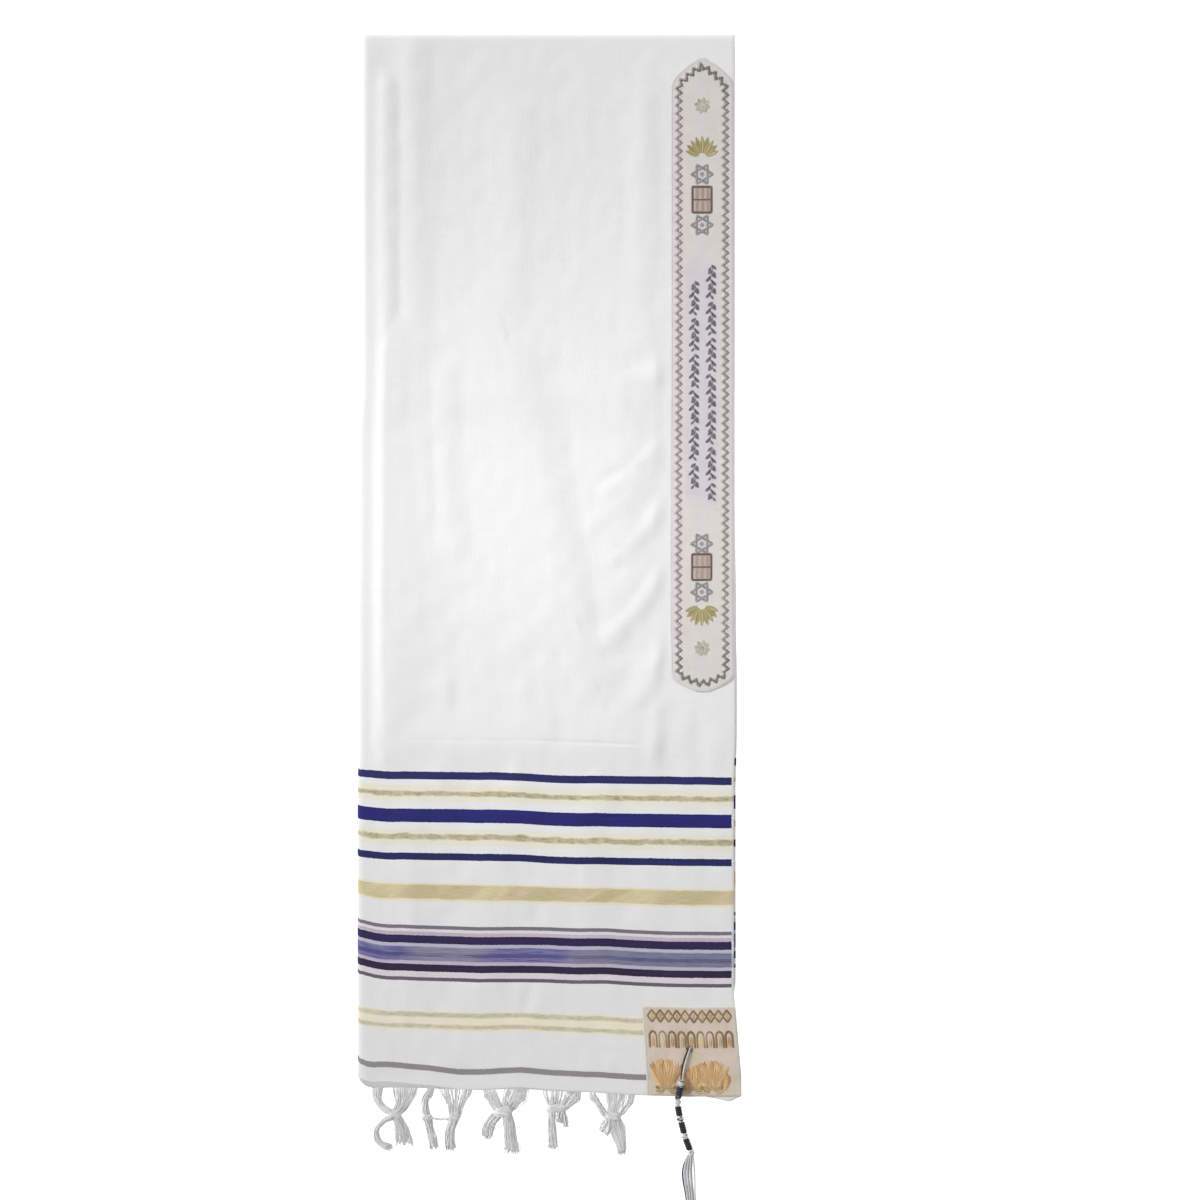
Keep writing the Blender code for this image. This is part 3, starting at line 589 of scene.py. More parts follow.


# %% [markdown]
# ## The woven cloth's finish
#
# The stripes are woven in, so they follow the cloth's own coordinates and bend with the hem. Plain
# stripes are stops of a colour ramp that doesn't blend between them; a little noise on the `down`
# coordinate makes their edges run like yarn. The gold stripes are different: a metal yarn floats on
# a cream ground and is beaten unevenly, so each is a band whose half width comes from long noise.
# Slanted lighter patches and fine streaks on the gold are painted highlights, glints of the metal
# yarn, mixed with its own tone changes. A second ramp with the same stops tells the yarns apart,
# because navy is a satin and shines more.

# %% Stripes of the cloth
SELVEDGE = 467.4
GROUND = paint(235, 235, 235)
STRIPES = [
    # from, to, colour, yarn
    (924.0, 933.0, paint(38, 38, 96), "navy"),
    (940.2, 960.8, paint(236, 232, 216), "cream"),
    (970.3, 987.1, paint(31, 31, 108), "navy"),
    (995.4, 1015.4, paint(236, 232, 216), "cream"),
    (1025.2, 1033.8, paint(34, 35, 90), "navy"),
    (1062.5, 1086.0, paint(236, 231, 210), "cream"),
    (1115.5, 1119.7, paint(122, 117, 126), "grey"),
    (1119.7, 1123.5, paint(226, 223, 226), "cream"),
    (1123.5, 1127.5, paint(204, 191, 204), "grey"),
    (1127.5, 1137.5, paint(44, 34, 78), "navy"),
    (1137.5, 1142.3, paint(192, 188, 206), "grey"),
    (1142.3, 1149.1, paint(132, 134, 160), "grey"),
    (1149.1, 1153.9, paint(86, 88, 128), "grey"),
    (1153.9, 1159.3, paint(134, 132, 158), "grey"),
    (1159.3, 1163.9, paint(196, 188, 208), "grey"),
    (1163.9, 1172.9, paint(44, 34, 64), "navy"),
    (1172.9, 1180.4, paint(224, 216, 222), "cream"),
    (1180.4, 1184.2, paint(104, 98, 106), "grey"),
    (1222.2, 1246.7, paint(240, 233, 212), "cream"),
    (1289.6, 1297.2, paint(152, 148, 148), "grey"),
    # The last row, a pale grey line along the hem's edge, is painted shade of the turned-down edge, partly a
    # grey woven line
    (1314.4, 1330.0, paint(214, 211, 211), "grey"),
]
RAMP_ENDS = ((0.900, 1.105), (1.105, 1.335))
YARN_MARKS = {"navy": (1, 0, 0, 1), "cream": (0, 1, 0, 1), "grey": (0, 0, 1, 1)}
GOLD_BANDS = [
    # middle, least and greatest half width, how dull the gold is, its dull colour, share of dark dashes
    (951.4, 1.8, 4.0, 0.75, paint(188, 181, 150), 0.55),
    (1005.5, 2.2, 4.8, 0.7, paint(188, 181, 150), 0.5),
    (1074.0, 8.2, 9.4, 0.0, paint(188, 181, 150), 0.0),
    (1227.4, 2.0, 3.5, 0.85, paint(214, 210, 186), 0.25),
    (1241.8, 1.8, 3.1, 0.85, paint(212, 208, 182), 0.25),
]
# Tones of the gold yarn along slanted patches: its own tan and olive, with the brightest stops as painted
# highlights of the metal yarn
GOLD_TONES_AND_GLINTS = ((0.0, paint(207, 194, 146)), (0.42, paint(211, 198, 158)), (0.50, paint(220, 200, 168)),
              (0.58, paint(226, 214, 172)), (0.68, paint(209, 196, 150)))
GOLD_EDGE = 1.1
DASH_COLOUR = paint(146, 140, 100)
DYED_ROWS = (1.1425, 1.1600)
DYED_STRETCHES = ((0.0, paint(84, 78, 168)), (0.10, paint(84, 78, 168)), (0.15, paint(158, 152, 172)),
                  (0.33, paint(158, 152, 172)), (0.37, paint(84, 78, 168)), (0.53, paint(84, 78, 168)),
                  (0.60, paint(150, 146, 164)), (0.72, paint(112, 118, 146)), (1.0, paint(112, 118, 146)))


def stripe_ramp(tree, place, ends, rows, ground):
    """A ramp with one hard step where a stripe starts and one where it ends. rows: from, to, colour."""
    ramp = add(tree, "ValToRGB", [("Fac", spread(tree, place, *ends, 0.0, 1.0))])
    ramp.color_ramp.interpolation = "CONSTANT"
    stops = {0.0: ground}
    for start, end, colour in rows:
        if ends[0] <= start * MM < ends[1]:
            stops[(start * MM - ends[0]) / (ends[1] - ends[0])] = colour
            stops[min((end * MM - ends[0]) / (ends[1] - ends[0]), 0.9999)] = ground
    set_stops(ramp, sorted(stops.items()))
    return ramp


def stripe_colours(tree, place, pick, ground):
    """The upper and the lower ramp, joined where the upper one ends."""
    rows = [(start, end, pick(colour, yarn)) for start, end, colour, yarn in STRIPES]
    upper, lower = [stripe_ramp(tree, place, ends, rows, ground) for ends in RAMP_ENDS]
    past = sum_up(tree, "GREATER_THAN", place, RAMP_ENDS[0][1])
    return blend_colour(tree, past, upper, lower)


def gold_band(tree, place, laid, number, middle, least, greatest):
    """1 inside a band whose half width runs between two values along the cloth, and 0 outside."""
    turned = add(tree, "VectorMath", [(0, laid), (1, (0.37 * number, 0.0, 0.0))], operation="ADD")
    noise = grain(tree, turned, (48.0, 90.0, 0.0), 4.0, 0.6)
    run = spread(tree, noise, 0.34, 0.66, least * MM, greatest * MM)
    off = sum_up(tree, "ABSOLUTE", sum_up(tree, "SUBTRACT", place, middle * MM))
    inside = sum_up(tree, "SUBTRACT", run, off)
    return spread(tree, inside, -GOLD_EDGE * MM, GOLD_EDGE * MM, 0.0, 1.0)


def weave_height(tree, across, down, pitch):
    """Height of a plain weave: the product of one wave for the warp and one for the weft."""
    waves = [sum_up(tree, "SINE", sum_up(tree, "MULTIPLY", way, 2 * math.pi / pitch))
             for way in (across, down)]
    return sum_up(tree, "MULTIPLY", *waves)


def dyed_patches(tree, across, down, dye, colour):
    """The middle of the lowest group: its yarn was dyed in stretches, violet, lilac and slate."""
    run = sum_up(tree, "ADD", across, spread(tree, dye, 0.3, 0.7, -0.02, 0.02))
    stretches = add(tree, "ValToRGB", [("Fac", spread(tree, run, 0.0, PANEL_WIDTH * MM, 0.0, 1.0))])
    set_stops(stretches, DYED_STRETCHES)
    start, end = DYED_ROWS
    inside = sum_up(tree, "MULTIPLY", spread(tree, down, start - MM, start, 0.0, 1.0),
                    spread(tree, down, end, end + MM, 1.0, 0.0))
    strands = grain(tree, add(tree, "CombineXYZ", [(0, across), (1, down)]), (30.0, 900.0, 0.0), 2.5, 0.65)
    share = sum_up(tree, "MULTIPLY", inside, spread(tree, strands, 0.42, 0.58, 0.0, 0.8))
    shaded = blend_colour(tree, 1.0, stretches, spread(tree, strands, 0.35, 0.65, 1.4, 0.62), "MULTIPLY")
    dark = blend_colour(tree, 1.0, colour, spread(tree, strands, 0.3, 0.5, 0.68, 1.1), "MULTIPLY")
    return blend_colour(tree, share, blend_colour(tree, inside, colour, dark), shaded)


def woven_finish():
    """White cloth with its woven stripes."""
    finish, tree, shader = new_finish("woven_cloth", 0.82, 0.25, 0.12)
    laid, across, down = laid_axes(tree)

    long_run = sum_up(tree, "SUBTRACT", grain(tree, laid, (19.0, 5.0, 0.0), 1.5), 0.5)
    run = sum_up(tree, "MULTIPLY", long_run, 0.0012)
    fuzz = sum_up(tree, "SUBTRACT", grain(tree, laid, (420.0, 60.0, 0.0), 1.0), 0.5)
    place = sum_up(tree, "ADD", sum_up(tree, "ADD", down, run), sum_up(tree, "MULTIPLY", fuzz, 0.0011))

    colour = stripe_colours(tree, place, lambda shade, yarn: shade, GROUND)
    marks = add(tree, "SeparateColor", [(0, stripe_colours(tree, place, lambda shade, yarn: YARN_MARKS[yarn],
                                                           (0, 0, 0, 1)))])
    navy, grey = marks.outputs[0], marks.outputs[2]
    dyed = sum_up(tree, "MAXIMUM", navy, grey)

    in_selvedge = spread(tree, across, (SELVEDGE - 0.4) * MM, (SELVEDGE + 0.4) * MM, 0.0, 1.0)
    colour = blend_colour(tree, sum_up(tree, "MULTIPLY", in_selvedge, dyed), colour, GROUND)

    streaks = grain(tree, laid, (14.0, 1400.0, 0.0), 2.0, 0.6)
    slubs = grain(tree, laid, (900.0, 16.0, 0.0), 2.0, 0.6)
    dye = grain(tree, laid, (9.0, 60.0, 0.0), 3.0)
    # Navy satin: streaks along its threads, partly the yarn's own tone and partly painted highlights on the
    # threads, from 0.62 to 1.45 times the navy
    navy_streaks_and_highlights = sum_up(tree, "ADD", spread(tree, streaks, 0.25, 0.75, 0.62, 1.45),
                      spread(tree, dye, 0.3, 0.7, -0.16, 0.16))
    navy_with_highlights = blend_colour(tree, 1.0, colour, navy_streaks_and_highlights, "MULTIPLY")
    colour = blend_colour(tree, navy, colour, navy_with_highlights)
    pink = blend_colour(tree, spread(tree, dye, 0.42, 0.62, 0.0, 1.0), colour, paint(150, 122, 150))
    colour = blend_colour(tree, sum_up(tree, "MULTIPLY", grey, 0.15), colour, pink)
    colour = dyed_patches(tree, across, down, dye, colour)
    plain = sum_up(tree, "MULTIPLY", spread(tree, streaks, 0.25, 0.75, 0.973, 1.018),
                   spread(tree, slubs, 0.25, 0.75, 0.979, 1.015))
    colour = blend_colour(tree, 1.0, colour, plain, "MULTIPLY")

    # Painted highlights on the gold: slanted patches of lighter tone stand in for glints, and fine streaks of
    # painted shine run along the threads
    slant = sum_up(tree, "ADD", across, sum_up(tree, "MULTIPLY", down, 1.3))
    slanted_glint_patches = grain(tree, add(tree, "CombineXYZ", [(0, slant), (1, down)]), (15.0, 9.0, 0.0), 2.0, 0.5)
    gold = add(tree, "ValToRGB", [("Fac", slanted_glint_patches)])
    add_stops(gold, GOLD_TONES_AND_GLINTS)
    painted_shine = grain(tree, laid, (60.0, 2400.0, 0.0), 2.0, 0.7)
    gold_with_glints = blend_colour(tree, 1.0, gold, spread(tree, painted_shine, 0.3, 0.7, 0.80, 1.15), "MULTIPLY")
    dashes = spread(tree, grain(tree, laid, (110.0, 380.0, 0.0), 3.0, 0.6), 0.46, 0.60, 0.0, 1.0)
    breaks = spread(tree, grain(tree, laid, (75.0, 30.0, 0.0), 2.0), 0.36, 0.52, 0.72, 1.0)
    metal = 0.0
    for number, (middle, least, greatest, dull, dull_colour, dark_share) in enumerate(GOLD_BANDS):
        inside = gold_band(tree, place, laid, number, middle, least, greatest)
        if dull > 0:
            inside = sum_up(tree, "MULTIPLY", inside, breaks)
        duller = blend_colour(tree, dull, gold_with_glints, dull_colour)
        duller = blend_colour(tree, sum_up(tree, "MULTIPLY", dashes, dark_share), duller, DASH_COLOUR)
        colour = blend_colour(tree, inside, colour, duller)
        metal = sum_up(tree, "MAXIMUM", inside, metal)
    tree.links.new(colour, shader.inputs["Base Color"])
    tree.links.new(sum_up(tree, "MULTIPLY", metal, 0.22).outputs[0], shader.inputs["Metallic"])
    shiny = sum_up(tree, "MAXIMUM", navy, metal)
    tree.links.new(spread(tree, shiny, 0.0, 1.0, 0.85, 0.5).outputs[0], shader.inputs["Roughness"])

    weave = weave_height(tree, across, down, 0.0011)
    slub_height = sum_up(tree, "ADD", sum_up(tree, "MULTIPLY", streaks, 1.4), slubs)
    height = sum_up(tree, "ADD", sum_up(tree, "MULTIPLY", weave, 0.22), slub_height)
    raise_up(tree, shader, height, 0.00022, 0.8)
    return finish


woven_cloth = woven_finish()
print("stripes:", len(STRIPES), "plain and", len(GOLD_BANDS), "gold")

# %% [markdown]
# ## The front of the cloth
#
# The half that faces up is a grid with a point every 4 mm. At the left and at the top it turns down
# to the floor: there the section is a quarter of an ellipse, whose height is that of the layers it
# wraps.

# %% Front of the folded cloth
# How far the woven pattern is pulled along the cloth. Columns: across, pull
PULL_AT_FOLD = [(0, -7.5), (2, -5.5), (5, -1.6), (9, 0.9), (14, 2.6), (19, 3.0), (27, 1.9), (37, 0.5),
                (46, 0.0)]
PULL_AT_HEM = [(0, -3.0), (8, 2.0), (25, 3.5), (37, 3.3), (50, 1.7), (88, -0.4), (126, -4.4), (163, -3.3),
               (201, -2.1), (239, -3.3), (276, -3.6), (314, -3.7), (470, -3.4)]
PULL_UPPER_GROUP = [(46, 0.0), (88, 0.6), (126, 1.0), (163, 1.1), (201, -0.7), (239, -1.4), (276, -1.4),
                    (314, -0.2), (352, 0.9), (389, 1.4), (427, 1.3), (452, 0.5)]
PULL_LOWER_GROUP = [(0, 3.0), (9, 2.6), (19, 1.0), (30, 0.2), (46, 0.0), (163, -0.2), (201, -1.4),
                    (239, -0.1), (276, 0.0), (314, 1.8), (352, 1.5), (389, 0.8), (427, 1.2), (452, 0.3)]
# Where each pull sets in, is full, lets go and ends
GROUP_PULLS = ((PULL_UPPER_GROUP, 860.0, 925.0, 1040.0, 1110.0),
               (PULL_LOWER_GROUP, 1040.0, 1110.0, 1190.0, 1235.0))
HEM_PULL_FROM = (1235.0, 1285.0)
TURNS = np.radians(np.linspace(90.0, 0.0, 10))[:-1]
STEP = 4.0
CREASE_LINES = np.arange(872.0, 899.0, 1.2)
RIM_ROUND = 0.7


def sections(last, step=STEP, fine=None):
    """Places and angles of a grid's lines: first those of the rounded fold, then those on the flat."""
    flat = np.linspace(FOLD_RADIUS, last, int(round((last - FOLD_RADIUS) / step)) + 1)
    if fine is not None:
        flat = np.concatenate([flat[flat < fine[0] - 1.0], fine, flat[flat > fine[-1] + 1.0]])
    places = np.concatenate([np.full(len(TURNS), FOLD_RADIUS), flat])
    return places, np.concatenate([TURNS, np.zeros(len(flat))])


def cloth_face(depth, last_across, last_down, step=STEP, fine=None):
    """Grid of points `depth` under the outer face, with its cloth coordinates.

    Round a fold a point lies at (1 - sin) of the fold's depth and at cos of the height.
    """
    across, turn_across = sections(last_across, step)
    down, turn_down = sections(last_down, step, fine)
    across, down = np.meshgrid(across, down)
    turn_across, turn_down = np.meshgrid(turn_across, turn_down)
    height = cloth_height(across, down) - depth
    across = np.where(turn_across > 0, depth + (FOLD_RADIUS - depth) * (1 - np.sin(turn_across)), across)
    down = np.where(turn_down > 0, depth + (FOLD_RADIUS - depth) * (1 - np.sin(turn_down)), down)
    height = (height + crease_rise(across, down)) * np.cos(turn_across) * np.cos(turn_down)
    x, y = plan(across, down)
    return np.dstack([x, y, height]), np.dstack([across, down])


def make_front():
    """The half of the cloth that faces up."""
    outer, laid = cloth_face(0.0, LAST_ACROSS, LAST_DOWN, fine=CREASE_LINES)
    inner = cloth_face(WALL - 0.1, LAST_ACROSS, LAST_DOWN, fine=CREASE_LINES)[0]
    inner[:, :, 2] = np.maximum(inner[:, :, 2], 0.0)
    out = read_table(HEM_BULGE, laid[-1, :, 0])
    outer[-1, :, 1] -= out
    inner[-1, :, 1] -= out
    outer[-2, :, 1] -= out / 2
    inner[-2, :, 1] -= out / 2
    by_hem = ease(laid[:, :, 1], *HEM_PULL_FROM)
    laid[:, :, 1] += read_table(PULL_AT_FOLD, laid[:, :, 0]) * laid[:, :, 1] / HEM_DOWN * (1.0 - by_hem)
    laid[:, :, 1] += read_table(PULL_AT_HEM, laid[:, :, 0]) * by_hem
    for pull, start, full, fading, end in GROUP_PULLS:
        weight = ease(laid[:, :, 1], start, full) * (1.0 - ease(laid[:, :, 1], fading, end))
        laid[:, :, 1] += read_table(pull, laid[:, :, 0]) * weight
    points, faces, coordinates = closed_wall(outer, inner, (0.0, RIM_ROUND, RIM_ROUND, 0.0), laid)
    return build("shawl_front_cloth", points, faces, coordinates)


front = make_front()
dress(front, woven_cloth, "woven_cloth", "shawl_front")

# %% [markdown]
# ## The hidden layers
#
# Under the front lie the back half and, near the top, the part that is folded under. Nobody sees
# them apart from their edges at the right, so they share one rounded solid. Its right edge has one
# bulge for each layer: three beside the folded-under part and one further down. The back half lies
# a little crooked, so its stripes come out higher at the right edge than the front's do.

# %% Hidden layers with their edges
BACK_SKEW = 25.0
FAR_END_SHIFT = 860.0
EDGE_SHARES = np.linspace(1.0, 0.1, 15)
EDGE_ROUND = 1.2
EDGE_ACROSS = 462.0
LAYER_BULGE = 0.9
LAYERS_STEP = 6.0
LAYERS_SUNK = 0.8
LOWEST_LID = 0.35


def layered_edge(share, layers, depth):
    """How far an edge stands back at a share of its height: a half circle for each layer."""
    part = 2.0 * ((share * layers) % 1.0) - 1.0
    return -depth * (1.0 - np.sqrt(np.clip(1.0 - part * part, 0.0, 1.0)))


def make_layers():
    """Back half and folded-under part, flat below."""
    lid, laid = cloth_face(WALL + GAP, 455.0, BACK_HEM, LAYERS_STEP)
    inside = bare_cloth(laid[:, :, 0], laid[:, :, 1]) * (1.0 - ease(laid[:, :, 0], 420, 450))
    lid[:, :, 2] -= LAYERS_SUNK * inside * (lid[:, :, 2] > 2 * LAYERS_SUNK)
    lid[:, 0, 2] = LOWEST_LID
    down = laid[:, -1, 1]
    turn = sections(BACK_HEM, LAYERS_STEP)[1]
    height = (cloth_height(PANEL_WIDTH, np.maximum(down, FOLD_RADIUS)) - WALL - GAP) * np.cos(turn)
    edge_x = RIGHT - read_table(RIGHT_EDGE, down) + read_table(BACK_SELVEDGE, down)
    edge_y = TOP - down * read_table(HEM_LINE, edge_x - LEFT) / HEM_DOWN
    layered = ease(down, FOLD_RADIUS, 2 * FOLD_RADIUS) * (1.0 - ease(down, TUCK_END - 20, TUCK_END))
    columns = [lid]
    for share in EDGE_SHARES:
        plain = EDGE_ROUND * (math.sqrt(1.0 - share * share) - 1.0)
        x = edge_x + layered * layered_edge(share, 3, LAYER_BULGE) + (1.0 - layered) * plain
        columns.append(np.dstack([x, edge_y, np.maximum(height * share, 0.2 * share)]).reshape(-1, 1, 3))
    lid = np.concatenate(columns, axis=1)
    lid[0, :, 2] = LOWEST_LID
    edge_laid = np.dstack([np.full((len(down), len(EDGE_SHARES)), EDGE_ACROSS),
                           np.repeat(down[:, None], len(EDGE_SHARES), axis=1)])
    laid = np.concatenate([laid, edge_laid], axis=1)
    share = np.linspace(0.0, 1.0, lid.shape[1])[None, :]
    base = lid[:, :1] * (1.0 - share[:, :, None]) + lid[:, -1:] * share[:, :, None]
    below = laid[:, :, 1]
    base[:, :, 1] = TOP - below * read_table(HEM_LINE, base[:, :, 0] - LEFT) / HEM_DOWN
    base[:, :, 2] = 0.0
    back_down = laid[:, :, 1] + BACK_SKEW * laid[:, :, 0] / PANEL_WIDTH
    from_below = np.where(below < TUCK_END, below + FAR_END_SHIFT, below)
    laid_below = np.dstack([np.broadcast_to(share * EDGE_ACROSS, below.shape), from_below])
    laid = np.dstack([np.minimum(laid[:, :, 0], EDGE_ACROSS), back_down])
    points, faces, coordinates = closed_wall(lid, base, (0.0, 0.5, 0.0, 0.0), laid, laid_below)
    return build("shawl_hidden_layers", points, faces, coordinates)


layers = make_layers()
dress(layers, woven_cloth, "woven_cloth", "shawl_under_layers")

# %% [markdown]
# ## Embroidery, stitch by stitch
#
# The border, the stars and the ornaments are satin stitch: short threads laid side by side. A
# photograph of such work shows every thread, so each stitch here is a small raised loaf with three
# sections, and a joined mesh holds all the stitches of a piece. A stitch is a row of numbers: its
# middle and its half length on the cloth, its width, its rise and its colour. Motifs are functions
# that return such rows.

# %% Stitches on the cloth
THREAD = 0.62
THREAD_RISE = 0.62
STITCH_SECTIONS = np.array([-1.0, 0.0, 1.0])
STITCH_WIDTHS = np.array([0.6, 1.0, 0.6])
STITCH_RISES = np.array([0.35, 1.0, 0.35])
BAND_WALL = 1.2
PATCH_WALL = 1.1


def screen(red, green, blue):
    """Linear colour of a screen colour, as three numbers for a thread."""
    return np.array(paint(red, green, blue)[:3])


def stitches(middles, halves, colour, width=THREAD, rise=THREAD_RISE):
    """Rows for stitches: middle (2), half length (2), width, rise, colour (3)."""
    middles = np.atleast_2d(middles)
    count = len(middles)
    halves = np.broadcast_to(halves, (count, 2))
    colours = np.broadcast_to(colour, (count, 3))
    return np.column_stack([middles, halves, np.full(count, width), np.full(count, rise), colours])


def distances(points):
    """Distance of each point from the first, along the broken line through them."""
    return np.concatenate([[0.0], np.cumsum(np.linalg.norm(np.diff(points, axis=0), axis=1))])


def even_points(points, step):
    """Points at even distances along a broken line, and the flat directions across it there."""
    points = np.asarray(points, dtype=float)
    places = distances(points)
    wanted = np.linspace(0.0, places[-1], max(int(round(places[-1] / step)), 2) + 1)
    found = np.column_stack([np.interp(wanted, places, points[:, axis]) for axis in range(points.shape[1])])
    along = np.gradient(found[:, :2], axis=0)
    along /= np.maximum(np.linalg.norm(along, axis=1), 1e-9)[:, None]
    return found, np.column_stack([-along[:, 1], along[:, 0]]), wanted


def satin_line(points, width, colour, step=THREAD * 0.92, rise=THREAD_RISE):
    """Satin stitch along a broken line: threads side by side, square to it."""
    found, across = even_points(points, step)[:2]
    return stitches(found, across * width / 2, colour, THREAD, rise)


def satin_leaf(base, tip, width, colour, rise=THREAD_RISE):
    """A leaf: threads lean from a midrib to both sides, longest at two fifths of its length."""
    base, tip = np.array(base, dtype=float), np.array(tip, dtype=float)
    axis = tip - base
    length = np.linalg.norm(axis)
    axis /= length
    side = np.array([-axis[1], axis[0]])
    share = np.linspace(0.06, 0.97, max(int(length / 0.75), 4))
    reach = width / 2 * np.sin(np.pi * share ** 0.75) ** 0.8
    rows = []
    for hand in (-1.0, 1.0):
        halves = (side[None, :] * hand + axis[None, :] * 0.55) * reach[:, None] / 2
        middles = base + axis * (share * length)[:, None] + halves
        rows.append(stitches(middles, halves * 1.04, colour, THREAD * 1.05, rise))
    return np.vstack(rows)


def star(middle, reach, colour, width):
    """Two crossed triangles with satin sides."""
    rows = []
    for turn in (0.0, math.pi):
        angles = turn + 2 * np.pi * np.arange(4) / 3
        corners = np.array(middle) + reach * np.column_stack([np.cos(angles), np.sin(angles)])
        rows.append(satin_line(corners, width, colour))
    return np.vstack(rows)


def panel(middle, size, border, fill, width=3.2):
    """A framed square: satin sides round rows of flat stitches, with a bar across its middle."""
    half = np.array(size) / 2
    corners = np.array([(-1, -1), (1, -1), (1, 1), (-1, 1), (-1, -1)]) * (half - width / 2) + np.array(middle)
    inner = half - width
    rows_down = np.arange(-inner[1], inner[1], 0.7)
    places = np.array([(shift, row) for index, row in enumerate(rows_down)
                       for shift in np.linspace(-1, 1, 3) * inner[0] * 0.66 + 0.8 * (-1) ** index])
    flat = stitches(places + np.array(middle), (inner[0] * 0.33, 0.0), fill, THREAD, 0.35)
    bar = satin_line([(middle[0] - inner[0], middle[1]), (middle[0] + inner[0], middle[1])], 2.4, border)
    return np.vstack([flat, satin_line(corners, width, border), bar])


def rosette(middle, reach, petals, colour, heart):
    """Petals round a small ring."""
    rows = []
    for petal in range(petals):
        angle = 2 * np.pi * petal / petals + 0.2
        ray = np.array([math.cos(angle), math.sin(angle)])
        rows.append(satin_leaf(np.array(middle) + ray * reach * 0.28, np.array(middle) + ray * reach,
                               reach * 0.52, colour))
    angles = np.linspace(0.0, 2 * np.pi, 19)
    ring = np.array(middle) + reach * 0.2 * np.column_stack([np.cos(angles), np.sin(angles)])
    rows.append(satin_line(ring, 1.6, heart))
    return np.vstack(rows)


def palmette(foot, reach, leaves, colours, opening, up, width):
    """A fan of leaves from one foot, the middle one longest."""
    rows = []
    for place, angle in enumerate(np.linspace(-opening, opening, leaves)):
        length = reach * (0.72 + 0.28 * math.cos(angle))
        ray = np.array([math.sin(angle), up * math.cos(angle)])
        rows.append(satin_leaf(np.array(foot) + ray * reach * 0.16, np.array(foot) + ray * length,
                               reach * width, colours[place % len(colours)]))
    return np.vstack(rows)


def vine(start, end, middle, sway, leaf, colour, gap_every, step):
    """A winding stem with a leaf at each side in turn, in sprigs with a bare stretch between them."""
    down = np.arange(start, end, 0.8)
    stem = np.column_stack([middle + sway * np.sin(2 * np.pi * (down - start) / (4 * step)), down])
    rows = []
    for place, root in enumerate(np.arange(start, end - step, step)):
        if place % (gap_every + 1) == gap_every:
            continue
        near = (down >= root) & (down < root + step)
        rows.append(satin_line(stem[near], 0.9, colour, 0.8, 0.5))
        hand = (-1) ** place
        foot = stem[near][0]
        rows.append(satin_leaf(foot, foot + np.array([hand * leaf * 0.70, leaf * 0.62]), leaf * 0.48, colour))
        rows.append(satin_leaf(foot + np.array([0, 2.2]), foot + np.array([-hand * leaf * 0.48, leaf * 0.86]),
                               leaf * 0.38, colour))
    return np.vstack(rows)


def stitch_mesh(name, rows, clear):
    """All stitches of a piece as one mesh: three rings of four points each, `clear` over the cloth."""
    count = len(rows)
    middle, half = rows[:, 0:2], rows[:, 2:4]
    width, rise, colour = rows[:, 4], rows[:, 5], rows[:, 6:9]
    side = np.column_stack([-half[:, 1], half[:, 0]])
    side /= np.maximum(np.linalg.norm(side, axis=1), 1e-9)[:, None]
    spots = middle[:, None, :] + half[:, None, :] * STITCH_SECTIONS[None, :, None]
    reach = (width[:, None] / 2 * STITCH_WIDTHS)[:, :, None] * side[:, None, :]
    place = np.stack([spots - reach, spots, spots + reach, spots], axis=2)
    top = rise[:, None] * STITCH_RISES
    height = np.stack([top * 0.3, top, top * 0.3, np.full_like(top, -0.08)], axis=2) + clear
    across, down = place[..., 0].ravel(), place[..., 1].ravel()
    x, y = plan(across, down)
    points = np.column_stack([x, y, cloth_height(across, down) + height.ravel()])
    first = 12 * np.arange(count)[:, None]
    ring = np.arange(4)
    faces = [first + np.array([4 * section + a, 4 * section + 4 + a, 4 * section + 4 + (a + 1) % 4,
                               4 * section + (a + 1) % 4]) for section in range(2) for a in ring]
    faces += [first + ring[None, :], first + 8 + ring[None, ::-1]]
    return build(name, points, [np.vstack(faces)], tint=np.repeat(colour, 12, axis=0))


# %% Embroidery thread's finish


def thread_finish(name, roughness, sheen):
    """Lustrous thread: its colour comes from each stitch, with fine streaks in tone and height."""
    finish, tree, shader = new_finish(name, roughness, 0.45, sheen)
    tint = add(tree, "Attribute", attribute_name="tint")
    place = add(tree, "TexCoord").outputs["Object"]
    tone = spread(tree, grain(tree, place, (1500.0, 1500.0, 1500.0), 2.0), 0.3, 0.7, 0.80, 1.12)
    drift = spread(tree, grain(tree, place, (55.0, 55.0, 55.0), 2.0), 0.3, 0.7, 0.93, 1.06)
    both = sum_up(tree, "MULTIPLY", tone, drift)
    tree.links.new(blend_colour(tree, 1.0, tint.outputs[0], both, "MULTIPLY"), shader.inputs["Base Color"])
    raise_up(tree, shader, tone, 0.0003, 0.5)
    return finish


embroidery_thread = thread_finish("embroidery_thread", 0.42, 0.1)
print("thread width:", THREAD, "mm")

# %% [markdown]
# ## The neckband
#
# The neckband is a long strip of satin with pointed round ends, sewn along the selvedge. Its outline
# is a short table of widths near the points, rounded by an average over a few millimetres. It lies on
# the cloth, so its points are the cloth's points, moved up. A zigzag border runs round it, inside it
# are stars, framed squares, leaf sprigs, rosettes and fans.

# %% Neckband strip
BAND_MIDDLE = 429.1
BAND_WIDTH = 79.6
BAND_TOP = 31.0
BAND_END = 816.7
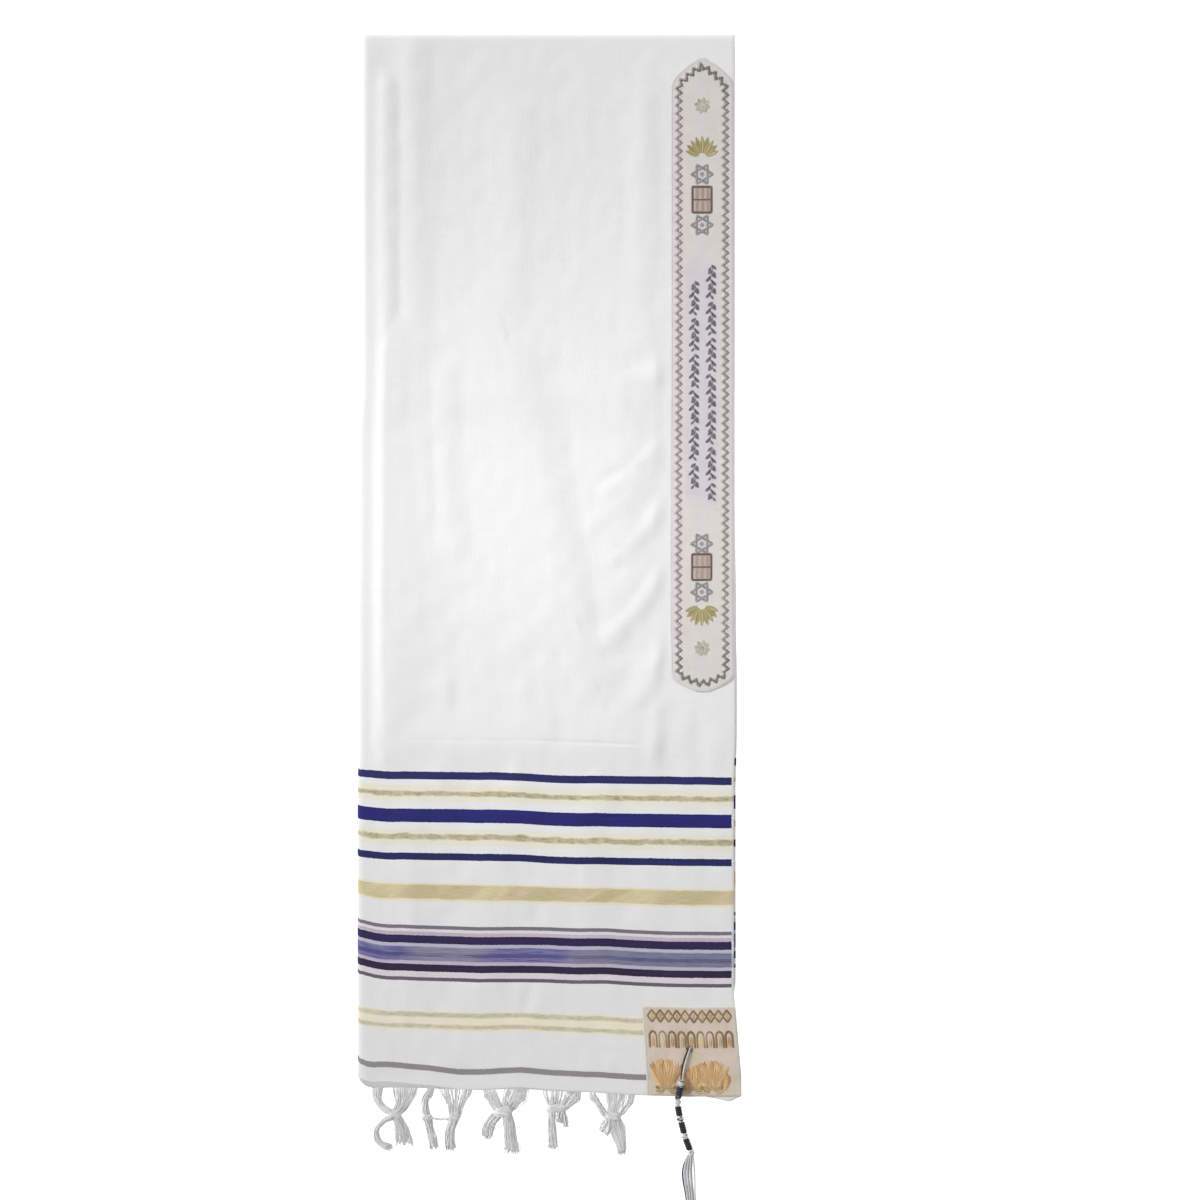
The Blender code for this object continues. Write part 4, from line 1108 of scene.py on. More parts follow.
# Columns: distance from the point, share of the width
BAND_TOP_POINT = [(0, 0.06), (4, 0.26), (8, 0.42), (16, 0.66), (24, 0.88), (31, 0.98), (40, 1.0)]
BAND_END_POINT = [(0, 0.12), (2, 0.32), (5, 0.52), (9, 0.73), (14, 0.92), (22, 1.0)]
BAND_ROUNDING = np.linspace(-3.0, 3.0, 7)
BAND_TONES = ((0.0, paint(215, 212, 210)), (0.26, paint(217, 213, 209)), (0.52, paint(220, 212, 209)),
              (0.70, paint(218, 212, 209)), (0.97, paint(218, 215, 213)))
LILAC = paint(208, 201, 213)
LILAC_SHARE = 0.5
SATIN_PITCH = 0.0009
PILLOW = 0.25
SEAM_ROUNDS = (0.4, 0.4, 0.4, 0.4)


def band_half(down):
    """Half width of the neckband, by the table of its points."""
    rounded = [np.minimum(read_table(BAND_TOP_POINT, np.maximum(down - BAND_TOP + shift, 0.0)),
                          read_table(BAND_END_POINT, np.maximum(BAND_END - down + shift, 0.0)))
               for shift in BAND_ROUNDING]
    return BAND_WIDTH / 2 * np.mean(rounded, axis=0)


def on_cloth(across, down, clear):
    """Grid of points at a height over the cloth, and its cloth coordinates."""
    x, y = plan(across, down)
    return np.dstack([x, y, cloth_height(across, down) + clear]), np.dstack([across, down])


def make_band():
    """The strip itself."""
    near = np.arange(0.0, 60.0, 2.0)
    middle = np.linspace(BAND_TOP + 60.0, BAND_END - 60.0, 165)
    down = np.concatenate([BAND_TOP + near, middle, (BAND_END - near)[::-1]])
    across = BAND_MIDDLE + band_half(down)[:, None] * np.linspace(-1.0, 1.0, 27)[None, :]
    down = np.repeat(down[:, None], 27, axis=1)
    pillow = PILLOW * (1.0 - ((across - BAND_MIDDLE) / np.maximum(band_half(down), 1.0)) ** 6)
    upper, laid = on_cloth(across, down, GAP + BAND_WALL - PILLOW + pillow)
    lower, laid = on_cloth(across, down, GAP)
    points, faces, coordinates = closed_wall(upper, lower, SEAM_ROUNDS, laid)
    return build("neckband_strip", points, faces, coordinates)


def satin_weave(tree, shader, across, down, ribs):
    """Bump of a fine weave and its ribs."""
    weave = weave_height(tree, across, down, SATIN_PITCH)
    raise_up(tree, shader, sum_up(tree, "ADD", sum_up(tree, "MULTIPLY", weave, 0.25), ribs), 0.0002, 0.8)


def band_finish():
    """Pale satin, pinker beside its border and lilac along its middle."""
    finish, tree, shader = new_finish("neckband_satin", 0.55, 0.4, 0.15)
    laid, across, down = laid_axes(tree)
    off = sum_up(tree, "ABSOLUTE", sum_up(tree, "SUBTRACT", across, BAND_MIDDLE * MM))
    ground = add(tree, "ValToRGB", [("Fac", spread(tree, off, 0.0, BAND_WIDTH / 2 * MM, 0.0, 1.0))])
    add_stops(ground, BAND_TONES)
    ground.color_ramp.elements.remove(ground.color_ramp.elements[0])
    ribs = grain(tree, laid, (30.0, 1700.0, 0.0), 2.0, 0.6)
    clouds = grain(tree, laid, (60.0, 40.0, 0.0), 2.0)
    beside = sum_up(tree, "MULTIPLY", spread(tree, off, 0.018, 0.024, LILAC_SHARE, 0.0),
                    sum_up(tree, "MULTIPLY", spread(tree, down, 0.280, 0.295, 0.0, 1.0),
                           spread(tree, down, 0.575, 0.590, 1.0, 0.0)))
    ground = blend_colour(tree, beside, ground, LILAC)
    tone = sum_up(tree, "MULTIPLY", spread(tree, ribs, 0.25, 0.75, 0.94, 1.04),
                  spread(tree, clouds, 0.3, 0.7, 0.97, 1.03))
    tree.links.new(blend_colour(tree, 1.0, ground, tone, "MULTIPLY"), shader.inputs["Base Color"])
    satin_weave(tree, shader, across, down, ribs)
    return finish


band = make_band()
dress(band, band_finish(), "neckband_cloth", "neckband")

# %% Zigzag border of the neckband
BORDER_INSET = 10.6
BORDER_PERIOD = 10.3
BORDER_SWAY = 2.9
BORDER_WIDTH = 5.6
# Width of the thin white zigzag that is a painted highlight on the border
BORDER_HIGHLIGHT_WIDTH = 1.7
BORDER_STEP = 0.56
EDGE_SEAM_INSET = 2.2
BORDER_LEFT = screen(197, 179, 186)
BORDER_RIGHT = screen(186, 180, 170)
BORDER_ENDS = screen(154, 152, 144)
# White thread that stands in for the border's highlights: painted highlight
BORDER_HIGHLIGHT = screen(248, 246, 244)
SEAM_COLOUR = screen(226, 222, 220)


def band_outline(inset):
    """Closed line at a distance inside the neckband's edge, smoothed so that its corners are round."""
    down = np.linspace(BAND_TOP, BAND_END, 1200)
    half = band_half(down)
    line = np.vstack([np.column_stack([BAND_MIDDLE - half, down]),
                      np.column_stack([BAND_MIDDLE + half, down])[::-1]])
    found, across = even_points(np.vstack([line, line[:1]]), 0.7)[:2]
    moved = found - across * inset
    window = np.ones(15) / 15
    padded = np.vstack([moved[-8:-1], moved, moved[1:8]])
    return np.column_stack([np.convolve(padded[:, axis], window, mode="valid") for axis in range(2)])


def zigzag_border():
    """Threads that lie square to the border's line, while their middles swing to and fro, and thin white
    threads on the mirrored swing as painted highlights.
    """
    found, across, along = even_points(band_outline(BORDER_INSET), BORDER_STEP)
    turns = round(along[-1] / BORDER_PERIOD)
    phase = along / along[-1] * turns
    swing = BORDER_SWAY * (4.0 * np.abs(phase % 1.0 - 0.5) - 1.0)
    middles = found + across * swing[:, None]
    to_right = ease(found[:, 0], BAND_MIDDLE - 10, BAND_MIDDLE + 10)[:, None]
    by_end = 1.0 - ease(np.minimum(found[:, 1] - BAND_TOP, BAND_END - found[:, 1]), 30, 75)[:, None]
    colour = BORDER_LEFT * (1 - to_right) + BORDER_RIGHT * to_right
    colour = colour * (1 - by_end) + BORDER_ENDS * by_end
    # Thin white zigzag on the mirrored swing: painted highlights of the border
    pale = stitches(found - across * swing[:, None], across * BORDER_HIGHLIGHT_WIDTH / 2, BORDER_HIGHLIGHT, THREAD, 0.6)
    return np.vstack([stitches(middles, across * BORDER_WIDTH / 2, colour, THREAD, 0.75), pale])


def running_seam(line, step, length, colour):
    """Short stitches in line with a seam, with a gap after each."""
    found, across = even_points(line, step)[:2]
    along = np.column_stack([across[:, 1], -across[:, 0]])
    return stitches(found, along * length / 2, colour, 0.55, 0.4)


border_rows = np.vstack([zigzag_border(),
                         running_seam(band_outline(EDGE_SEAM_INSET), 2.8, 2.0, SEAM_COLOUR)])
border = stitch_mesh("neckband_border", border_rows, GAP + BAND_WALL)
dress(border, embroidery_thread, "neckband_cloth")

# %% Ornaments of the neckband
STAR_REACH = 13.6
STAR_COLOUR = screen(178, 175, 172)
SQUARE_SIZE = (27.0, 35.0)
SQUARE_EDGE = screen(132, 113, 103)
SQUARE_FILL = screen(194, 168, 152)
VINE_COLOUR = screen(110, 108, 124)
PALE_GOLD = screen(206, 194, 138)
PALE_GOLD_DEEP = screen(190, 176, 120)
FAINT_GOLD = screen(218, 213, 196)
TOP_STARS = (175.3, 238.2)
TOP_SQUARE = 206.8
END_STARS = (633.4, 693.3)
END_SQUARE = 662.3


def band_ornaments():
    """Everything inside the border, from the top point to the lower one."""
    rows = [vine(308.0, 567.5, BAND_MIDDLE - 9.2, 1.4, 8.4, VINE_COLOUR, 8, 5.0),
            vine(288.0, 581.5, BAND_MIDDLE + 12.0, 1.4, 8.4, VINE_COLOUR, 8, 5.0)]
    for down in TOP_STARS + END_STARS:
        rows.append(star((BAND_MIDDLE, down), STAR_REACH, STAR_COLOUR, 3.2))
        rows.append(rosette((BAND_MIDDLE, down), 3.4, 6, STAR_COLOUR, STAR_COLOUR))
    for down in (TOP_SQUARE, END_SQUARE):
        rows.append(panel((BAND_MIDDLE, down), SQUARE_SIZE, SQUARE_EDGE, SQUARE_FILL))
    for middle, fan, hand, ring in ((90.0, 154.3, -1.0, FAINT_GOLD), (763.0, 709.2, 1.0, PALE_GOLD_DEEP)):
        rows.append(rosette((BAND_MIDDLE, middle), 10.0, 8, FAINT_GOLD, ring))
        rows.append(palmette((BAND_MIDDLE, fan), 27.0, 9, (PALE_GOLD, PALE_GOLD_DEEP), 1.2, hand, 0.24))
    return np.vstack(rows)


ornaments = stitch_mesh("neckband_ornaments", band_ornaments(), GAP + BAND_WALL)
dress(ornaments, embroidery_thread, "neckband_cloth")

# %% [markdown]
# ## The corner patch
#
# A square of beige satin strengthens the corner. It has a rounded eyelet, cut with a boolean, with
# stitches round it. Two rows of gold ornament run along its upper half, and fans of leaves fill the
# lower half, all in the thick, lustrous threads of a machine embroidery.

# %% Patch cloth and its eyelet
PATCH_LEFT = 354.0
PATCH_TOP = 1209.5
EYELET = (174.4, -498.8)
EYELET_RADIUS = 2.8
EYELET_SIDES = 32
CUTTER_DEPTH = 20.0
PATCH_RIGHT_EDGE = 0.4697


def make_patch():
    """The patch over the corner, with the eyelet cut through it."""
    across, down = np.meshgrid(np.linspace(PATCH_LEFT, LAST_ACROSS, 47),
                               np.linspace(PATCH_TOP, LAST_DOWN, 43))
    ripple = 0.22 * np.sin(across / 9.0 + down / 23.0) * np.sin(down / 13.0)
    edge = ease(across, PATCH_LEFT, PATCH_LEFT + 12) * ease(down, PATCH_TOP, PATCH_TOP + 12)
    upper, laid = on_cloth(across, down, GAP + PATCH_WALL + ripple * edge)
    lower, laid = on_cloth(across, down, GAP)
    points, faces, coordinates = closed_wall(upper, lower, (0.4, 0.4, RIM_ROUND, 0.4), laid)
    patch = build("patch_cloth", points, faces, coordinates)
    bpy.ops.mesh.primitive_cylinder_add(vertices=EYELET_SIDES, radius=EYELET_RADIUS * MM,
                                        depth=CUTTER_DEPTH * MM,
                                        location=(EYELET[0] * MM, EYELET[1] * MM, 0.0))
    cutter = bpy.context.active_object
    cut = patch.modifiers.new("eyelet", "BOOLEAN")
    cut.operation = "DIFFERENCE"
    cut.object = cutter
    seen = patch.evaluated_get(bpy.context.evaluated_depsgraph_get())
    holed = bpy.data.meshes.new_from_object(seen)
    patch.modifiers.clear()
    patch.data = holed
    bpy.data.objects.remove(cutter, do_unlink=True)
    return patch


def patch_finish():
    """Beige satin with a pale margin and ribs."""
    finish, tree, shader = new_finish("patch_satin", 0.5, 0.45, 0.15)
    laid, across, down = laid_axes(tree)
    clouds = grain(tree, laid, (45.0, 45.0, 0.0), 3.0)
    ground = blend_colour(tree, spread(tree, clouds, 0.35, 0.65, 0.0, 1.0), paint(224, 206, 195),
                          paint(214, 200, 176))
    from_left = sum_up(tree, "SUBTRACT", across, PATCH_LEFT * MM)
    from_right = sum_up(tree, "SUBTRACT", PATCH_RIGHT_EDGE, across)
    margin = spread(tree, sum_up(tree, "MINIMUM", from_left, from_right), 0.0035, 0.0055, 1.0, 0.0)
    ground = blend_colour(tree, margin, ground, paint(214, 208, 198))
    ribs = grain(tree, laid, (1500.0, 40.0, 0.0), 2.0, 0.6)
    ground = blend_colour(tree, 1.0, ground, spread(tree, ribs, 0.25, 0.75, 0.92, 1.05), "MULTIPLY")
    tree.links.new(ground, shader.inputs["Base Color"])
    satin_weave(tree, shader, across, down, ribs)
    return finish


patch = make_patch()
dress(patch, patch_finish(), "patch_cloth", "corner_patch")

# %% Ornaments of the patch
OLIVE_GOLD = screen(176, 158, 116)
TAN_GOLD = screen(230, 189, 136)
# Pale gold thread; on the fans it also stands in for highlights, as painted highlight
LIGHT_GOLD_AND_HIGHLIGHT = screen(242, 214, 168)
BROWN_GOLD = screen(164, 136, 108)
AMBER_GOLD = screen(220, 174, 118)
PATCH_MARGIN = 5.0
UPPER_ROW = 1220.0
LOWER_ROW = 1249.0
FAN_FOOT = 1315.0
MOUND_RISE = 0.45
# Columns: middle, width, top
MOUNDS = ((377, 34, 1274), (408, 26, 1288), (421, 32, 1278), (437, 32, 1275), (448, 18, 1288))
# Columns: middle, reach, leaves, opening
FANS = ((378.0, 43.0, 11, 0.5), (411.0, 34.0, 9, 0.6), (434.0, 41.0, 13, 0.6))


def lozenge_row(down, start, end, count, size, colours, hearts):
    """Bold outlined lozenges side by side, each with a leaf in it."""
    rows = []
    for place, middle in enumerate(np.linspace(start, end, count)):
        corners = np.array([(-size[0], 0), (0, -size[1]), (size[0], 0), (0, size[1]), (-size[0], 0)])
        rows.append(satin_line(corners + np.array([middle, down]), 2.6, colours[place % 2]))
        rows.append(satin_leaf((middle, down - 4.0), (middle, down + 4.0), 4.0, hearts[place % 2]))
    return np.vstack(rows)


def arcade_row(down, start, end, count, height, colours, hearts):
    """Bold round arches side by side, with a leaf standing in each."""
    rows = []
    reach = (end - start) / count / 2
    for place in range(count):
        middle = start + reach * (2 * place + 1)
        angles = np.linspace(np.pi, 2 * np.pi, 15)
        arch = np.column_stack([middle + (reach - 1.6) * np.cos(angles),
                                down - height / 6 + height / 3 * np.sin(angles)])
        legs = [(middle - reach + 1.6, down + height / 2), *arch, (middle + reach - 1.6, down + height / 2)]
        rows.append(satin_line(legs, 2.9, colours[place % 2]))
        rows.append(satin_leaf((middle, down + height / 2), (middle, down - height / 5), 4.4,
                               hearts[place % 2]))
    return np.vstack(rows)


def mound(middle, width, top):
    """A broad leaf of flat stitches, as the ground of a fan."""
    return satin_leaf((middle, FAN_FOOT), (middle, top), width, TAN_GOLD, MOUND_RISE)


def patch_ornaments():
    """Two rows, then fans of leaves along the lower edge, and stitches round the edge."""
    left, right = PATCH_LEFT + PATCH_MARGIN, LAST_ACROSS - PATCH_MARGIN
    rows = [lozenge_row(UPPER_ROW, left + 6, right - 6, 10, (5.4, 7.6), (OLIVE_GOLD, BROWN_GOLD),
                        (LIGHT_GOLD_AND_HIGHLIGHT, TAN_GOLD)),
            arcade_row(LOWER_ROW, left, right, 9, 20.0, (BROWN_GOLD, OLIVE_GOLD), (TAN_GOLD, LIGHT_GOLD_AND_HIGHLIGHT))]
    rows += [mound(*row) for row in MOUNDS]
    # Fans of leaves in turn tan, amber and light gold: the light gold leaves are partly painted highlights on
    # the lustrous threads
    for middle, reach, leaves, opening in FANS:
        rows.append(palmette((middle, FAN_FOOT), reach, leaves, (TAN_GOLD, AMBER_GOLD, LIGHT_GOLD_AND_HIGHLIGHT), opening,
                             -1.0, 0.16))
        rows.append(palmette((middle, FAN_FOOT), 18.0, 9, (LIGHT_GOLD_AND_HIGHLIGHT, OLIVE_GOLD), 1.4, -1.0, 0.36))
    edge = [(PATCH_LEFT + 1.6, 1318.0), (PATCH_LEFT + 1.6, PATCH_TOP + 1.6), (468.0, PATCH_TOP + 1.6),
            (468.0, 1318.0), (PATCH_LEFT + 1.6, 1318.0)]
    rows.append(running_seam(edge, 2.6, 1.9, screen(206, 196, 180)))
    return np.vstack(rows)


def eyelet_ring():
    """Stitches like rays round the eyelet, in cloth coordinates."""
    eye_down = float(down_at(EYELET[0], EYELET[1]))
    left = LEFT + read_table(LEFT_EDGE, eye_down)
    right = RIGHT - read_table(RIGHT_EDGE, eye_down)
    eye_across = (EYELET[0] - left) * PANEL_WIDTH / (right - left)
    angles = 2 * np.pi * np.arange(34) / 34
    rays = np.column_stack([np.cos(angles), np.sin(angles)])
    middles = np.array([eye_across, eye_down]) + rays * (EYELET_RADIUS + 1.1)
    return stitches(middles, rays * 1.2, screen(186, 172, 152), 0.75, 0.7)


patch_rows = np.vstack([patch_ornaments(), eyelet_ring()])
patch_stitches = stitch_mesh("patch_ornaments", patch_rows, GAP + PATCH_WALL)
dress(patch_stitches, embroidery_thread, "patch_cloth")

# %% [markdown]
# ## Yarn as tubes
#
# Fringe and strings are yarn: long thin tubes. One helper makes all tubes of a piece at once. For
# each path it takes the direction at every point, finds a sideways and an upward direction from a
# reference that the path never follows, and sets a small ring of points there. Another one twists
# a few thin tubes round a path, which makes a plied string.

# %% Tubes and plied strings


def unit(vectors):
    """Vectors of length 1."""
    return vectors / np.maximum(np.linalg.norm(vectors, axis=-1, keepdims=True), 1e-12)


def sideways(along, reference):
    """A sideways and an upward direction for each direction of a path."""
    side = unit(np.cross(along, reference))
    return side, np.cross(side, along)


def tubes(paths, radii, sides, reference):
    """Points and faces of closed tubes along paths of equal count. paths: strand, point, xyz."""
    strands, count = paths.shape[:2]
    side, up = sideways(unit(np.gradient(paths, axis=1)), reference)
    angle = 2 * np.pi * np.arange(sides) / sides
    radii = np.broadcast_to(radii, (strands, count))[:, :, None, None]
    spoke = np.cos(angle)[:, None] * side[:, :, None, :] + np.sin(angle)[:, None] * up[:, :, None, :]
    rings = (paths[:, :, None, :] + radii * spoke).reshape(strands, -1, 3)
    points = np.concatenate([rings, paths[:, :1], paths[:, -1:]], axis=1)
    size = points.shape[1]
    section, turn = np.meshgrid(np.arange(count - 1), np.arange(sides), indexing="ij")
    here = (section * sides + turn).ravel()
    after = (section * sides + (turn + 1) % sides).ravel()
    quads = np.column_stack([here, here + sides, after + sides, after])
    turn = np.arange(sides)
    last = (count - 1) * sides
    start = np.column_stack([np.full(sides, count * sides), turn, (turn + 1) % sides])
    end = np.column_stack([np.full(sides, count * sides + 1), last + (turn + 1) % sides, last + turn])
    shift = (size * np.arange(strands))[:, None, None]
    caps = np.vstack([start, end]) + shift
    return points.reshape(-1, 3), [(quads + shift).reshape(-1, 4), caps.reshape(-1, 3)]


def join(parts):
    """One set of points, faces and colours from several."""
    points, quads, triangles, tints, count = [], [], [], [], 0
    for (part_points, (part_quads, part_triangles)), colour in parts:
        points.append(part_points)
        quads.append(part_quads + count)
        triangles.append(part_triangles + count)
        tints.append(np.broadcast_to(colour, (len(part_points), 3)))
        count += len(part_points)
    return np.vstack(points), [np.vstack(quads), np.vstack(triangles)], np.vstack(tints)


def smooth_path(stations, count):
    """Points at even shares of a smooth curve through the stations, by cubic pieces between them."""
    stations = np.array(stations, dtype=float)
    places = distances(stations[:, :2])
    steps = np.linalg.norm(np.diff(stations[:, :2], axis=0), axis=1)
    slopes = np.gradient(stations, places, axis=0)
    wanted = np.linspace(0.0, places[-1], count)
    part = np.clip(np.searchsorted(places, wanted, side="right") - 1, 0, len(steps) - 1)
    span = steps[part][:, None]
    t = (wanted - places[part])[:, None] / span
    return ((2 * t ** 3 - 3 * t ** 2 + 1) * stations[part] + (t ** 3 - 2 * t ** 2 + t) * span * slopes[part]
            + (3 * t ** 2 - 2 * t ** 3) * stations[part + 1] + (t ** 3 - t ** 2) * span * slopes[part + 1])


def plied(path, reference, plies, thick, pitch):
    """Paths of the plies of a string of a given radius, which turn once round it every pitch."""
    side, up = sideways(unit(np.gradient(path, axis=0)), reference)
    turn = 2 * np.pi * (distances(path)[None, :] / pitch + np.arange(plies)[:, None] / plies)
    reach = thick * 0.5
    return path + reach * (np.cos(turn)[:, :, None] * side + np.sin(turn)[:, :, None] * up)


def even_path(path, step):
    """A path in space with its points at even distances."""
    places = distances(path)
    wanted = np.linspace(0.0, places[-1], max(int(round(places[-1] / step)), 3) + 1)
    return np.column_stack([np.interp(wanted, places, path[:, axis]) for axis in range(3)])


def string(path, reference, thick, plies=3, pitch=5.0, step=0.6, sides=6):
    """A plied string along a path: its plies as tubes."""
    path = even_path(path, step)
    return tubes(plied(path, reference, plies, thick, pitch), thick * 0.56, sides, reference)


ALONG_X = np.array([1.0, 0.0, 0.0])
ALONG_Y = np.array([0.0, 1.0, 0.0])
UP = np.array([0.0, 0.0, 1.0])
fringe_finish = thread_finish("cotton_yarn", 0.85, 0.3)
string_finish = thread_finish("wool_string", 0.8, 0.25)

# %% [markdown]
# ## The fringe
#
# The warp ends leave the hem in a fan, meet in a knot and part again. The frame holds each tassel as
# a few thick strands; here each bundle gets ten times as many thin yarns on the same route. A yarn
# keeps its place in the bundle's oval section, wavers a little, and ends at a length of its own. A
# knot is a double layer of yarns that arch over the bundles, the upper layer crossing the lower one.

# %% Tassels
TASSELS = {
    1: {
        "knots": [(-194.0, 34.0, 9.5, 5.0)],
        "bundles": [
            (6, [(-214.5, 3, 7.0), (-215.5, 11, 5.0), (-208, 24, 4.8), (-194, 34, 4.4), (-186, 48, 8.0),
                 (-182.6, 62, 10.5), (-182.6, 74, 11.5)]),
            (5, [(-180, 3, 16.0), (-182, 14, 12.0), (-187, 26, 7.5), (-196, 35, 4.5), (-210, 43, 3.6),
                 (-216.5, 54, 3.6), (-212, 68, 4.0), (-195, 75.5, 4.4)]),
        ],
    },
    2: {
        "knots": [(-153.5, 36.0, 6.5, 3.6), (-120.0, 35.0, 9.0, 4.6)],
        "bundles": [
            (3, [(-148, 3, 5.4), (-155.5, 14, 5.0), (-154.5, 29, 5.0), (-150, 46, 5.2), (-147, 60, 5.6),
                 (-144, 78, 6.0)]),
            (6, [(-117, 3, 21.0), (-117, 13, 14.0), (-117.5, 26, 9.0), (-120, 39, 5.6), (-124.5, 55, 6.2),
                 (-123, 78, 6.4)]),
            (1, [(-122, 35, 1.4), (-136, 37.5, 1.4), (-153, 36, 1.4)]),
        ],
    },
    3: {
        "knots": [(-58.0, 28.5, 12.0, 5.6)],
        "bundles": [
            (4, [(-75, 3, 9.0), (-68, 15, 7.0), (-63, 27, 6.0), (-73, 41, 7.0), (-77, 52, 7.6),
                 (-76, 63, 5.0)]),
            (6, [(-40, 3, 17.0), (-47, 14, 12.5), (-53, 28, 6.6), (-51, 41, 6.6), (-49, 57, 7.6),
                 (-46, 82, 9.2)]),
        ],
    },
    4: {
        "knots": [(9.0, 22.0, 14.0, 5.0)],
        "bundles": [
            (4, [(4.5, 3, 13.0), (4.5, 13, 9.0), (3, 24, 5.6), (3, 48, 5.4), (5, 75, 6.8)]),
            (4, [(31.5, 3, 11.0), (24, 12, 8.0), (16, 22, 5.0), (11.5, 40, 3.8)]),
            (2, [(16, 22, 2.6), (19.5, 33, 3.2), (20.5, 45, 3.6)]),
        ],
    },
    5: {
        "knots": [(78.0, 29.0, 11.0, 5.0)],
        "bundles": [
            (3, [(53, 3, 5.0), (59.5, 12, 4.0), (67.5, 24, 4.0), (73, 31, 4.6), (70, 43, 8.0),
                 (65, 52, 6.0)]),
            (7, [(88, 3, 20.0), (85, 14, 14.0), (80.5, 28, 8.6), (84, 42, 10.5), (88, 56, 8.0),
                 (91, 76, 4.0)]),
        ],
    },
}
YARNS_PER_STRAND = 10
YARN_RADIUS = 0.5
YARN_POINTS = 26
YARN_SIDES = 4
ROOT_START = 3
# Reach of each waver, and the range of its rates
YARN_WAVES = ((0.55, (9, 20)), (0.3, (24, 44)))
PILE = 2.5
KNOT_PILE = 3.0
KNOT_REACH = 11.0
KNOT_SPACING = 0.72
# Layers of a knot. Columns: lean, share of the yarns, of the depth and of the reach, height
KNOT_LAYERS = ((0.32, 1.0, 1.0, 1.0, 3.3), (-0.42, 0.62, 0.6, 0.82, 4.3))
FRINGE_COLOUR = screen(238, 237, 238)
FRINGE_SEED = 5


def hem_y(x):
    """y of the hem at an x."""
    return TOP - read_table(HEM_LINE, x - LEFT) * (LAST_DOWN / HEM_DOWN) - RIM_ROUND


def bundle(strands, stations, knots, draw):
    """Yarns of one bundle: each keeps its share of the oval section along the route."""
    count = strands * YARNS_PER_STRAND
    route = smooth_path(stations, YARN_POINTS)
    heading = unit(np.gradient(route[:, :2], axis=0))
    side = np.linspace(-1.0, 1.0, count) + draw.normal(0.0, 0.05, count)
    level = draw.uniform(0.0, 1.0, count)
    ends = 1.0 - draw.uniform(0.0, 0.09, count)
    share = np.linspace(0.0, 1.0, YARN_POINTS)[None, :] * ends[:, None]
    place = share * (YARN_POINTS - 1)
    low = np.minimum(place.astype(int), YARN_POINTS - 2)
    part = place - low
    x, below, half = [route[low, axis] * (1 - part) + route[low + 1, axis] * part for axis in range(3)]
    turn_x, turn_y = [heading[low, axis] * (1 - part) + heading[low + 1, axis] * part for axis in range(2)]
    waver = sum(reach * np.sin(share * draw.uniform(*rates, count)[:, None]
                               + draw.uniform(0, 6, count)[:, None])
                for reach, rates in YARN_WAVES)
    fray = 1.0 + 0.25 * ease(share, 0.8, 1.0) * draw.normal(0.3, 0.6, count)[:, None]
    off = side[:, None] * np.maximum(half - YARN_RADIUS, 0.3) * fray + waver * ease(share, 0.0, 0.1)
    x = x + turn_y * off
    below = below - turn_x * off
    if stations[0][1] == ROOT_START:
        below = np.where(share < 0.001, 0.0, below)
        below[:, 0] = -0.6
    y = hem_y(x) - below
    lift = np.zeros(x.shape)
    for knot_x, knot_y, reach_x, reach_y in knots:
        lift = np.maximum(lift, np.exp(-(np.hypot(x - knot_x, y - knot_y) / KNOT_REACH) ** 2))
    dome = np.sqrt(np.clip(1.0 - side ** 2, 0.1, 1.0))[:, None]
    pile = PILE * np.clip(6.0 / np.maximum(half, 3.0), 0.45, 1.3) + KNOT_PILE * lift * 0.6
    z = YARN_RADIUS + 0.12 + level[:, None] * dome * pile * ease(share, -0.08, 0.12)
    z = np.where(share > 0.9, z * (1.0 - 0.5 * ease(share, 0.9, 1.0)) + 0.3 * ease(share, 0.9, 1.0), z)
    return np.dstack([x, y, np.maximum(z, YARN_RADIUS + 0.1)])


def knot_wraps(knot, draw):
    """Yarns that arch over a knot from one side of it to the other, in two crossing layers."""
    x, y, reach_x, reach_y = knot
    share = np.linspace(-1.0, 1.0, 17)[None, :]
    paths = []
    for lean, of_yarns, of_depth, of_reach, top in KNOT_LAYERS:
        count = int(2 * reach_y * of_yarns / KNOT_SPACING)
        offs = np.linspace(-1.0, 1.0, count)[:, None] * reach_y * of_depth
        narrow = np.sqrt(1.0 - 0.55 * (offs / reach_y) ** 2)
        wave = draw.normal(0.0, 0.12, (count, 1))
        path_x = x + share * (reach_x * of_reach * narrow + 0.4)
        path_y = y + offs * (1.0 - 0.25 * share ** 2) + lean * reach_y * share + 0.9 * (1 - share ** 2) + wave
        height = top * np.sqrt(np.clip(1.0 - (0.92 * offs / reach_y) ** 2 * 0.5, 0, 1))
        z = YARN_RADIUS + 0.2 + height * (1.0 - share ** 4) ** 0.5
        paths.append(np.dstack([path_x + 0 * z, path_y + 0 * z, z]))
    return np.concatenate(paths)


